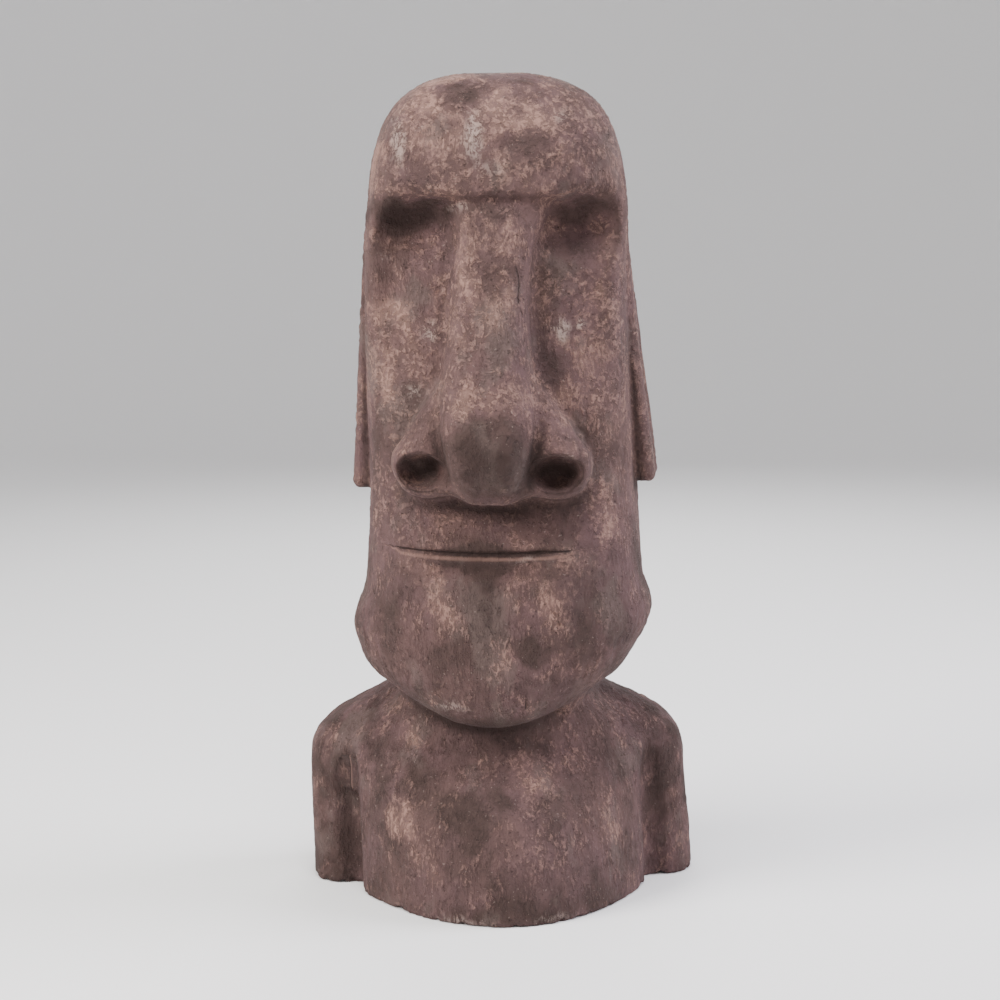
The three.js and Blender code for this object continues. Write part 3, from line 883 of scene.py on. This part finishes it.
    def upright(self, points: Array) -> Array:
        """How far the finer pattern runs upright: on chin and torso, and in patches.

        Args:
            points: where it is asked for.

        Returns:
            A share from 0 to 1 for each point.
        """
        grain = Grain(self.seed + 2)
        patch = ramp(self.upright_patches.at(grain, points), *self.upright_sets_in)
        return np.maximum(self.upright_patches.height * patch, ramp(points[:, 2], *self.combed))

    def crack(self, points: Array) -> Array:
        """How far the nearest crack is.

        Args:
            points: where it is asked for.

        Returns:
            The distance at each point, and the reach behind the front.
        """
        x, y, z = points.T
        nearest = np.full(len(points), self.reach)
        for crack in self.cracks:
            across, down = crack.end_x - crack.x, crack.end_z - crack.z
            share = ((x - crack.x) * across + (z - crack.z) * down) / (across**2 + down**2)
            share = np.clip(share, 0, 1)
            away = np.hypot(x - crack.x - share * across, z - crack.z - share * down)
            nearest = np.minimum(nearest, np.where(y < 0, away, self.reach))
        return nearest


# ----------------------------------------------------------------------------------------------------
# The cast skin
# ----------------------------------------------------------------------------------------------------


def deselect_all() -> None:
    """Leaves nothing selected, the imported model's nodes included."""
    bpy.ops.object.select_all(action="DESELECT")


def apply_modifier(piece: bpy.types.Object, kind: str, **settings: Any) -> None:
    """Adds a modifier to a piece and applies it.

    Args:
        piece: the object that gets it.
        kind: the modifier's type.
        settings: its properties.
    """
    deselect_all()
    piece.select_set(True)
    bpy.context.view_layer.objects.active = piece
    modifier = piece.modifiers.new(kind.title(), kind)
    for name, value in settings.items():
        setattr(modifier, name, value)
    bpy.ops.object.modifier_apply(modifier=modifier.name)


@dataclass(frozen=True)
class Skin:
    """The whole statue's surface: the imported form, refined, settled on its curves and tooled."""

    node: str = "moai_statue"
    name: str = "cast_skin"
    mesh_size: float = 2.7
    settle_steps: int = 5
    longest_move: float = 14.0
    most_triangles: int = 196_000
    figure: Figure = Figure()
    tooling: Tooling = Tooling()
    weathering_and_shade: WeatheringAndShade = WeatheringAndShade()
    merge_distance: float = 0.01
    quick_coarsening: float = 3
    least_steepness: float = 0.25
    shelter_distances: tuple[float, float, float] = (8, 20, 45)
    mouth_reach: float = 30

    def build(self) -> bpy.types.Object:
        """Makes the piece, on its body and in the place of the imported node.

        Returns:
            The finished piece.
        """
        piece = self.fine_copy()
        plain = self.settled(self.points_of(piece))
        normals = self.normals(plain)
        height, fine = self.tooling.relief(plain)
        self.move(piece, plain + normals * height[:, None])
        for name, values in self.marks(plain, normals, fine).items():
            self.store(piece, name, values)
        self.thin(piece)
        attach(piece, "root")
        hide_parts(self.node)
        return piece

    def marks(self, points: Array, normals: Array, fine: Array) -> dict[str, Array]:
        """What the finish reads at each vertex.

        Args:
            points: the points of the plain form.
            normals: the directions out of the stone there.
            fine: how raised the fine relief is there.

        Returns:
            The values by the name of their attribute.
        """
        return {
            "relief": fine,
            "shelter": self.shelter(points, normals),
            "mouth": self.mouth(points),
            "crack": self.weathering_and_shade.crack(points),
            "tint": self.weathering_and_shade.tint(points),
            "chalk": self.weathering_and_shade.chalk(points),
            "upright": self.weathering_and_shade.upright(points),
        }

    def fine_copy(self) -> bpy.types.Object:
        """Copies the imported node, merges it and cuts it into small even faces.

        Returns:
            The copy.
        """
        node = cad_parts[self.node]
        piece = bpy.data.objects.new(self.name, node.data.copy())
        bpy.context.collection.objects.link(piece)
        deselect_all()
        piece.select_set(True)
        bpy.context.view_layer.objects.active = piece
        bpy.ops.object.mode_set(mode="EDIT")
        bpy.ops.mesh.select_all(action="SELECT")
        bpy.ops.mesh.remove_doubles(threshold=self.merge_distance * UNIT)
        bpy.ops.object.mode_set(mode="OBJECT")
        size = self.mesh_size * 1
        apply_modifier(piece, "REMESH", mode="VOXEL", voxel_size=size * UNIT)
        return piece

    def points_of(self, piece: bpy.types.Object) -> Array:
        """Where the piece's vertices are.

        Args:
            piece: the object.

        Returns:
            Their places, in thousandths of the height.
        """
        flat = np.empty(3 * len(piece.data.vertices))
        piece.data.vertices.foreach_get("co", flat)
        return flat.reshape(-1, 3) / UNIT

    def settled(self, points: Array) -> Array:
        """The points moved onto the surface of the figure's field.

        Args:
            points: points near it.

        Returns:
            The points on it.
        """
        start = points
        for _ in range(self.settle_steps):
            depth = self.figure.field(points)
            slope = self.figure.slope(points, depth)
            steep = np.maximum((slope**2).sum(axis=1), self.least_steepness)
            points = points - slope * (depth / steep)[:, None]
            moved = points - start
            length = np.maximum(np.linalg.norm(moved, axis=1), TINY)
            points = start + moved * np.minimum(1, self.longest_move / length)[:, None]
        return points

    def normals(self, points: Array) -> Array:
        """The directions straight out of the stone at these points."""
        slope = self.figure.slope(points, self.figure.field(points))
        return slope / np.maximum(np.linalg.norm(slope, axis=1, keepdims=True), TINY)

    def mouth(self, points: Array) -> Array:
        """The height over the mouth's line in the front, and a height out of its reach elsewhere.

        Args:
            points: where it is asked for.

        Returns:
            One height for each point.
        """
        x, y, z = self.figure.face_frame(points)
        mouth = self.figure.skull.mouth
        past = np.maximum(np.abs(x - mouth.middle) - mouth.half_width, 0)
        height = mouth.above(x, z)
        height = np.clip(height + np.sign(height) * past, -self.mouth_reach, self.mouth_reach)
        return np.where(y < 0, height, self.mouth_reach)

    def shelter(self, points: Array, normals: Array) -> Array:
        """How sheltered each point is: the finish paints shade by it.

        Args:
            points: points on the plain form.
            normals: the directions out of the stone there.

        Returns:
            0 in the open, and up to 1 deep in a hollow.
        """
        open_shares = [
            np.clip(self.figure.field(points + normals * away) / away, 0, 1)
            for away in self.shelter_distances
        ]
        return sum(1 - share for share in open_shares) / len(open_shares)

    def move(self, piece: bpy.types.Object, points: Array) -> None:
        """Puts the piece's vertices elsewhere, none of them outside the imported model's box.

        Args:
            piece: the object.
            points: the new places, in thousandths of the height.
        """
        low, high = (np.array(corner) for corner in CAD_BOX)
        places = np.clip(points * UNIT, low, high)
        piece.data.vertices.foreach_set("co", places.ravel())
        piece.data.update()

    def store(self, piece: bpy.types.Object, name: str, values: Array) -> None:
        """Keeps one number for each vertex as a named attribute, which the finish reads."""
        layer = piece.data.attributes.new(name, "FLOAT", "POINT")
        layer.data.foreach_set("value", values.astype(np.float32))

    def thin(self, piece: bpy.types.Object) -> None:
        """Takes faces away where they tell least, and shades the rest smoothly.

        Args:
            piece: the object.
        """
        triangles = 2 * len(piece.data.polygons)
        if triangles > self.most_triangles:
            apply_modifier(piece, "DECIMATE", ratio=self.most_triangles / triangles)
            self.move(piece, self.points_of(piece))
        bpy.ops.object.shade_smooth()


# ----------------------------------------------------------------------------------------------------
# The finish, with painted shade
# ----------------------------------------------------------------------------------------------------


class Maths(Enum):
    """The Math node operations that the finish uses."""

    ADD = "ADD"
    SUBTRACT = "SUBTRACT"
    MULTIPLY = "MULTIPLY"
    ABSOLUTE = "ABSOLUTE"


class Signal:
    """A value in a material: Python's operators on it add Math nodes."""

    def __init__(self, shader: "Shader", socket: bpy.types.NodeSocket) -> None:
        """Keeps the material that the value belongs to, and its socket."""
        self.shader = shader
        self.socket = socket

    def combined(self, maths: Maths, first: Any, second: Any = None) -> "Signal":
        """One Math node.

        Args:
            maths: its operation.
            first: its first input.
            second: its second input, if it has one.

        Returns:
            Its outcome.
        """
        inputs = {0: first} if second is None else {0: first, 1: second}
        return self.shader.node("ShaderNodeMath", {"operation": maths.value}, inputs)

    def __add__(self, other: Any) -> "Signal":
        """This value and another."""
        return self.combined(Maths.ADD, self, other)

    __radd__ = __add__

    def __sub__(self, other: Any) -> "Signal":
        """This value less another."""
        return self.combined(Maths.SUBTRACT, self, other)

    def __rsub__(self, other: Any) -> "Signal":
        """Another value less this one."""
        return self.combined(Maths.SUBTRACT, other, self)

    def __mul__(self, other: Any) -> "Signal":
        """This value times another."""
        return self.combined(Maths.MULTIPLY, self, other)

    __rmul__ = __mul__

    def __abs__(self) -> "Signal":
        """The value without its sign."""
        return self.combined(Maths.ABSOLUTE, self)

    def rise(self, start: float, end: float) -> "Signal":
        """A smooth rise from 0 to 1, or a fall from 1 to 0 where end is the smaller.

        Args:
            start: the value where it starts.
            end: the value where it ends.

        Returns:
            The rise.
        """
        if end < start:
            return 1 - self.rise(end, start)
        settings = {"interpolation_type": "SMOOTHSTEP"}
        inputs = {"Value": self, "From Min": start, "From Max": end}
        return self.shader.node("ShaderNodeMapRange", settings, inputs)


class Shader:
    """A material's node tree, built by method calls."""

    torn_detail = 2.0
    torn_roughness = 0.5

    def __init__(self, name: str) -> None:
        """Makes the material and finds its surface shader.

        Args:
            name: the material's name.
        """
        self.material = bpy.data.materials.new(name)
        self.material.use_nodes = True
        self.tree = self.material.node_tree
        self.surface = self.tree.nodes["Principled BSDF"]

    def node(
        self, kind: str, settings: dict[str, Any] | None = None, inputs: dict[Any, Any] | None = None,
        output: int | str = 0,
    ) -> Signal:
        """Adds one node.

        Args:
            kind: the node's type.
            settings: its properties, set before its sockets.
            inputs: the values or links of its sockets, by name or number.
            output: the output that is wanted.

        Returns:
            The output as a signal.
        """
        made = self.tree.nodes.new(kind)
        for name, value in (settings or {}).items():
            setattr(made, name, value)
        for key, value in (inputs or {}).items():
            self.feed(made.inputs[key], value)
        return Signal(self, made.outputs[output])

    def feed(self, socket: bpy.types.NodeSocket, value: Any) -> None:
        """Links a signal to a socket, or sets its value.

        Args:
            socket: the socket.
            value: a signal, or a plain value.
        """
        if isinstance(value, Signal):
            self.tree.links.new(value.socket, socket)
        else:
            socket.default_value = value

    def attribute(self, name: str) -> Signal:
        """A number that the mesh keeps at each vertex."""
        return self.node("ShaderNodeAttribute", {"attribute_name": name}, output="Fac")

    def place(self, scale: Sequence[float] = (1, 1, 1), shift: Sequence[float] = (0, 0, 0)) -> Signal:
        """Object coordinates, scaled and shifted.

        Args:
            scale: how much they are scaled along each axis.
            shift: how far they are shifted.

        Returns:
            The coordinates.
        """
        coordinates = self.node("ShaderNodeTexCoord", output="Object")
        inputs = {"Vector": coordinates, "Scale": scale, "Location": shift}
        return self.node("ShaderNodeMapping", {"vector_type": "POINT"}, inputs)

    def noise(
        self, place: Signal, scale: float, detail: float, roughness: float, output: str = "Fac"
    ) -> Signal:
        """Cloudy noise about 0.5.

        Args:
            place: where it is read.
            scale: lumps to the metre.
            detail: how many finer layers it has.
            roughness: how strong the finer layers are.
            output: Fac for one number, Color for three.

        Returns:
            The noise.
        """
        inputs = {"Vector": place, "Scale": scale, "Detail": detail, "Roughness": roughness}
        return self.node("ShaderNodeTexNoise", {}, inputs, output=output)

    def layer(self, layer: "Layer", place: Signal | None = None) -> Signal:
        """A layer's noise, at its own stretched and shifted place unless another is given."""
        place = place or self.place(layer.stretch, layer.shift)
        return self.noise(place, layer.scale, layer.detail, layer.roughness)

    def mask(self, layer: "Layer", place: Signal | None = None) -> Signal:
        """A layer's noise between the two values where it sets in, at the layer's strength."""
        return self.layer(layer, place).rise(*layer.sets_in) * layer.strength

    def torn(self, place: Signal, scale: float, reach: float) -> Signal:
        """A place pushed about by noise.

        Args:
            place: the place.
            scale: lumps of the noise to the metre.
            reach: how far it is pushed, in metres.

        Returns:
            The pushed place.
        """
        push = self.noise(place, scale, self.torn_detail, self.torn_roughness, "Color")
        settings = {"operation": "MULTIPLY_ADD"}
        return self.node("ShaderNodeVectorMath", settings, {0: push, 1: (reach,) * 3, 2: place}, "Vector")

    def blend(self, share: Signal | float, a: Any, b: Any) -> Signal:
        """Mixes two colours.

        Args:
            share: how much there is of the second one.
            a: the first colour.
            b: the second colour.

        Returns:
            The mixed colour.
        """
        settings = {"data_type": "RGBA", "clamp_factor": True}
        return self.node("ShaderNodeMix", settings, {0: share, 6: a, 7: b}, output=2)


Colour = tuple[float, float, float, float]


@dataclass(frozen=True)
class Layer:
    """A layer of noise in a finish.

    Its lumps to the metre, its finer layers and how strong they are, the two values between which it sets
    in, its strength, and its own stretch and shift.
    """

    scale: float
    detail: float
    roughness: float
    sets_in: tuple[float, float] = (0, 1)
    strength: float = 1
    stretch: tuple[float, float, float] = (1, 1, 1)
    shift: tuple[float, float, float] = (0, 0, 0)


@dataclass(frozen=True)
class Band:
    """A mask that a value brings in: where it starts, where it is full, and its strength."""

    start: float
    full: float
    strength: float = 1

    def of(self, value: Signal) -> Signal:
        """The mask of this value."""
        return value.rise(self.start, self.full) * self.strength


@dataclass(frozen=True)
class StoneFinishAndShade:
    """Cast stone, left dark in its hollows by the brushing and darkened there with painted shade, brushed
    over with pale tan on what stands out.
    """

    body: Colour = (0.100, 0.056, 0.051, 1)
    mauve: Colour = (0.100, 0.056, 0.056, 1)
    dusky: Colour = (0.050, 0.029, 0.025, 1)
    lichen: Colour = (0.104, 0.073, 0.065, 1)
    brushed: Colour = (0.285, 0.162, 0.128, 1)
    chalk: Colour = (0.40, 0.31, 0.27, 1)
    # Near black: gaps, pores, the mouth line and cracks, and the painted shade in hollows and in the
    # darkest patches.
    deep: Colour = (0.022, 0.011, 0.009, 1)

    # The small pattern: crusty islands, and strokes where the stone was combed upright
    torn: tuple[tuple[float, float], ...] = ((60, 0.012), (190, 0.007))
    crust: Layer = Layer(165, 3, 0.65, (0.44, 0.57))
    strokes_torn: tuple[float, float] = (150, 0.008)
    strokes: Layer = Layer(270, 3, 0.65, (0.44, 0.57), 1, (1, 1, 0.42), (3, 1, 2))
    speck: Layer = Layer(480, 3, 0.65, shift=(7, 2, 5))
    pores: Layer = Layer(260, 2, 0.5, (0.36, 0.28), 1, shift=(1, 6, 2))
    pore_stain: float = 0.55
    wobble: Layer = Layer(130, 3, 0.6, (0, 1), 1.5, shift=(2, 2, 8))

    # The ground colours
    mauve_areas: Layer = Layer(9, 4, 0.6, (0.38, 0.62), 1, (1, 1, 0.7), (4, 4, 4))
    dusk_areas: Layer = Layer(15, 4, 0.6, (0.44, 0.62), 0.5, (1, 1, 0.8), (9, 1, 3))
    # Dark patches of the tint turn the ground dusky; painted shade is among them.
    dark_patches: Band = Band(-0.1, -0.9, 0.75)
    grey_areas: Layer = Layer(17, 3, 0.55, (0.54, 0.66), 0.6, (1, 1, 0.7), (2, 8, 6))

    # What is brushed over: patches, and in them what stands out
    clouds: Layer = Layer(28, 4, 0.6, (0, 1), 1.3, (1, 1, 0.7), (8, 2, 7))
    flakes: Layer = Layer(70, 4, 0.6, (0.36, 0.62), 1.2, (1, 1, 0.7), (6, 3, 3))
    brushed_by_tint: float = 0.52
    brushed_by_pattern: float = 0.25
    brushed_by_speck: float = 1.1
    brushed_by_relief: float = 0.10
    raised: Band = Band(-0.05, 0.90)
    brushing: float = 0.9

    # Smears, dark lines, and painted shade
    smears: Band = Band(0.40, 0.85, 0.6)
    smears_by_pattern: float = 0.5
    smears_by_speck: float = 0.9
    flecks: Layer = Layer(330, 1, 0.4, (0.72, 0.78), 0.25, shift=(5, 9, 1))
    gaps: Band = Band(0.55, 0.85, 0.45)
    gaps_by_flakes: float = 0.8
    gaps_by_speck: float = 0.6
    # Painted shade: hollows darkened by how sheltered they are.
    shelter: Band = Band(0.08, 0.70, 0.92)
    # The darkest patches of the tint darkened further: painted shade under the brow, in the nostrils and
    # over the nose tip, and the darkest random patches.
    soot_and_painted_shade: Band = Band(-0.95, -1.8, 0.75)
    lip_below: float = 6
    lip: Band = Band(3.0, 0.6, 0.35)
    mouth_line: Band = Band(1.7, 0.5)
    mouth_stain: float = 0.9
    crack_line: Band = Band(1.3, 0.3)
    crack_stain: float = 0.8

    # The surface
    roughness: float = 0.86
    burnish: float = 0.14
    specular: float = 0.30
    bump: float = 1.0
    bump_height: float = 1.4
    smooth_share: float = 0.4
    pattern_relief: float = 0.8
    speck_relief: float = 0.35
    pore_relief: float = 0.7
    mouth_relief: float = 1.6
    crack_relief: float = 1.2

    def pattern(self, s: Shader) -> Signal:
        """The small pattern of the skin: 0 in its gaps and 1 on its islands.

        Args:
            s: the material it is for.

        Returns:
            The pattern.
        """
        worn = s.place()
        for scale, reach in self.torn:
            worn = s.torn(worn, scale, reach)
        crust = s.mask(self.crust, worn)
        combed = s.torn(s.place(self.strokes.stretch, self.strokes.shift), *self.strokes_torn)
        strokes = s.mask(self.strokes, combed)
        return crust + (strokes - crust) * s.attribute("upright")

    def ground(self, s: Shader, tint: Signal) -> Signal:
        """The stone's own colours, with painted shade in the darkest patches, under what is brushed over
        them.

        Args:
            s: the material it is for.
            tint: how pale or dark the place is.

        Returns:
            The colour.
        """
        colour = s.blend(s.mask(self.mauve_areas), self.body, self.mauve)
        colour = s.blend(s.mask(self.dusk_areas) + self.dark_patches.of(tint), colour, self.dusky)
        return s.blend(s.mask(self.grey_areas), colour, self.lichen)

    def shader(self) -> bpy.types.Material:
        """Builds the finish.

        Returns:
            The material.
        """
        s = Shader("dry_brushed_stone_and_painted_shade")
        tint, mouth = s.attribute("tint"), s.attribute("mouth")
        pattern, pores = self.pattern(s), s.mask(self.pores)
        speck, flakes, clouds = s.layer(self.speck), s.layer(self.flakes), s.layer(self.clouds)
        wobble = (s.layer(self.wobble) - 0.5) * self.wobble.strength

        pale = tint * self.brushed_by_tint + (speck - 0.5) * self.brushed_by_speck
        pale = pale + (clouds - 0.5) * self.clouds.strength + (flakes - 0.5) * self.flakes.strength
        pale = pale + pattern * self.brushed_by_pattern + s.attribute("relief") * self.brushed_by_relief
        raised = self.raised.of(pale)
        on_islands = pattern * self.smears_by_pattern + speck * self.smears_by_speck
        smears = s.attribute("chalk") * self.smears.of(on_islands)
        between = flakes * self.gaps_by_flakes + speck * self.gaps_by_speck
        gaps = (1 - pattern) * self.gaps.of(between)
        lip = self.lip.of(abs(mouth + self.lip_below + wobble))
        line = self.mouth_line.of(abs(mouth + wobble))
        crack = self.crack_line.of(s.attribute("crack") + wobble)
        dark_lines = line * self.mouth_stain + crack * self.crack_stain

        colour = s.blend(raised * self.brushing, self.ground(s, tint), self.brushed)
        colour = s.blend(gaps, colour, self.deep)
        colour = s.blend(pores * self.pore_stain, colour, self.deep)
        colour = s.blend(smears + s.mask(self.flecks), colour, self.chalk)
        # Painted shade in the hollows.
        colour = s.blend(self.shelter.of(s.attribute("shelter")), colour, self.deep)
        colour = s.blend(lip, colour, self.brushed)
        # The mouth line and cracks, and painted shade where the tint is darkest.
        colour = s.blend(dark_lines + self.soot_and_painted_shade.of(tint), colour, self.deep)

        rough = flakes.rise(*self.flakes.sets_in) * (1 - self.smooth_share) + self.smooth_share
        height = pattern * self.pattern_relief + speck * self.speck_relief - pores * self.pore_relief
        height = height * rough - line * self.mouth_relief - crack * self.crack_relief
        inputs = {"Height": height, "Strength": self.bump, "Distance": self.bump_height * UNIT}
        s.feed(s.surface.inputs["Base Color"], colour)
        s.feed(s.surface.inputs["Roughness"], self.roughness - self.burnish * raised)
        s.feed(s.surface.inputs["Normal"], s.node("ShaderNodeBump", {}, inputs, output="Normal"))
        s.surface.inputs["Specular IOR Level"].default_value = self.specular
        return s.material


# ----------------------------------------------------------------------------------------------------
# The studio
# ----------------------------------------------------------------------------------------------------


@dataclass(frozen=True)
class SoftLamp:
    """A square soft lamp that looks at the statue's middle."""

    name: str
    place: tuple[float, float, float]
    width: float
    power: float
    colour: tuple[float, float, float] = (1, 1, 1)
    aim: tuple[float, float, float] = (0, 0, 0.5)

    def build(self) -> bpy.types.Object:
        """Adds the lamp, turned to what it looks at.

        Returns:
            The lamp.
        """
        direction = Vector(self.aim) - Vector(self.place)
        turn = direction.to_track_quat("-Z", "Y").to_euler()
        bpy.ops.object.light_add(type="AREA", location=self.place, rotation=turn)
        lamp = bpy.context.active_object
        lamp.name = self.name
        lamp.data.size = self.width
        lamp.data.energy = self.power
        lamp.data.color = self.colour
        return lamp


@dataclass(frozen=True)
class Studio:
    """A pale floor that curves up into a round wall, an even sky, and soft lamps."""

    radius: float = 6.0
    bend: float = 2.5
    wall: float = 2.0
    bend_steps: int = 12
    round_steps: int = 72
    paint: Colour = (0.90, 0.90, 0.90, 1)
    sky: float = 0.22
    lamps: tuple[SoftLamp, ...] = (
        SoftLamp("lamp_left", (-2.2, -1.0, 2.0), 1.3, 125, (1, 0.955, 0.92)),
        SoftLamp("lamp_right", (2.3, -0.1, 1.9), 1.5, 98, (0.945, 0.91, 1)),
        SoftLamp("lamp_front", (0.1, -2.9, 2.4), 1.0, 8),
        SoftLamp("lamp_above", (-0.1, -0.7, 2.8), 1.0, 52),
        SoftLamp("lamp_behind", (0.3, 2.4, 1.9), 1.6, 40),
    )

    def floor(self) -> bpy.types.Object:
        """Spins the floor's outline round the upright axis.

        Returns:
            The floor, which is wall as well.
        """
        deselect_all()
        bpy.ops.mesh.primitive_plane_add(size=1)
        floor = bpy.context.active_object
        floor.name = "floor"
        bpy.ops.object.mode_set(mode="EDIT")
        bpy.ops.mesh.select_all(action="SELECT")
        bpy.ops.mesh.merge(type="CENTER")
        reach = [(self.radius - self.bend, 0.0)]
        for step in range(1, self.bend_steps + 1):
            angle = math.pi / 2 * step / self.bend_steps
            forward = self.radius - self.bend + self.bend * math.sin(angle)
            reach.append((forward, self.bend * (1 - math.cos(angle))))
        reach.append((self.radius, self.bend + self.wall))
        at = (0.0, 0.0)
        for x, z in reach:
            step = (x - at[0], 0, z - at[1])
            bpy.ops.mesh.extrude_region_move(TRANSFORM_OT_translate={"value": step})
            at = (x, z)
        bpy.ops.mesh.select_all(action="SELECT")
        bpy.ops.mesh.spin(steps=self.round_steps, angle=math.tau, center=(0, 0, 0), axis=(0, 0, 1))
        bpy.ops.mesh.select_all(action="SELECT")
        bpy.ops.mesh.remove_doubles(threshold=1e-4)
        bpy.ops.mesh.normals_make_consistent(inside=True)
        bpy.ops.object.mode_set(mode="OBJECT")
        bpy.ops.object.shade_smooth()
        shader = Shader("pale_paint")
        shader.surface.inputs["Base Color"].default_value = self.paint
        shader.surface.inputs["Roughness"].default_value = 0.95
        floor.data.materials.append(shader.material)
        return floor

    def build(self) -> None:
        """Adds floor, sky and lamps."""
        self.floor()
        world = bpy.data.worlds.new("studio_sky")
        world.use_nodes = True
        background = world.node_tree.nodes["Background"]
        background.inputs["Color"].default_value = (1, 1, 1, 1)
        background.inputs["Strength"].default_value = self.sky
        bpy.context.scene.world = world
        for lamp in self.lamps:
            lamp.build()


@dataclass(frozen=True)
class Viewpoint:
    """The camera: where it stands, how it is turned, and its lens. Angles are in degrees."""

    distance: float = 2.902
    azimuth: float = -3.31
    height: float = 0.970
    tilt_down: float = 9.49
    roll: float = -0.46
    lens: float = 86.5
    sensor: float = 36

    def build(self) -> bpy.types.Object:
        """Adds the camera and makes it the scene's.

        Returns:
            The camera.
        """
        azimuth, tilt = math.radians(self.azimuth), math.radians(self.tilt_down)
        ahead, down = math.cos(tilt), math.sin(tilt)
        forward = Vector((-math.sin(azimuth) * ahead, math.cos(azimuth) * ahead, -down))
        right = Vector((math.cos(azimuth), math.sin(azimuth), 0))
        upright = Matrix((right, right.cross(forward), -forward)).transposed()
        turned = upright @ Matrix.Rotation(math.radians(self.roll), 3, "Z")
        place = (self.distance * math.sin(azimuth), -self.distance * math.cos(azimuth), self.height)
        bpy.ops.object.camera_add(location=place, rotation=turned.to_euler())
        camera = bpy.context.active_object
        camera.data.sensor_width = self.sensor
        camera.data.lens = self.lens
        bpy.context.scene.camera = camera
        return camera


def main() -> None:
    """Builds the viewpoint, the statue's skin with its finish, and the studio."""
    logging.basicConfig(level=logging.INFO, format="%(name)s: %(message)s")
    Viewpoint().build()
    skin = Skin().build()
    skin.data.materials.clear()
    skin.data.materials.append(StoneFinishAndShade().shader())
    log.info("%s: %d faces", skin.name, len(skin.data.polygons))
    Studio().build()
    log.info("studio: floor, sky and lamps")


if __name__ == "__main__":
    main()
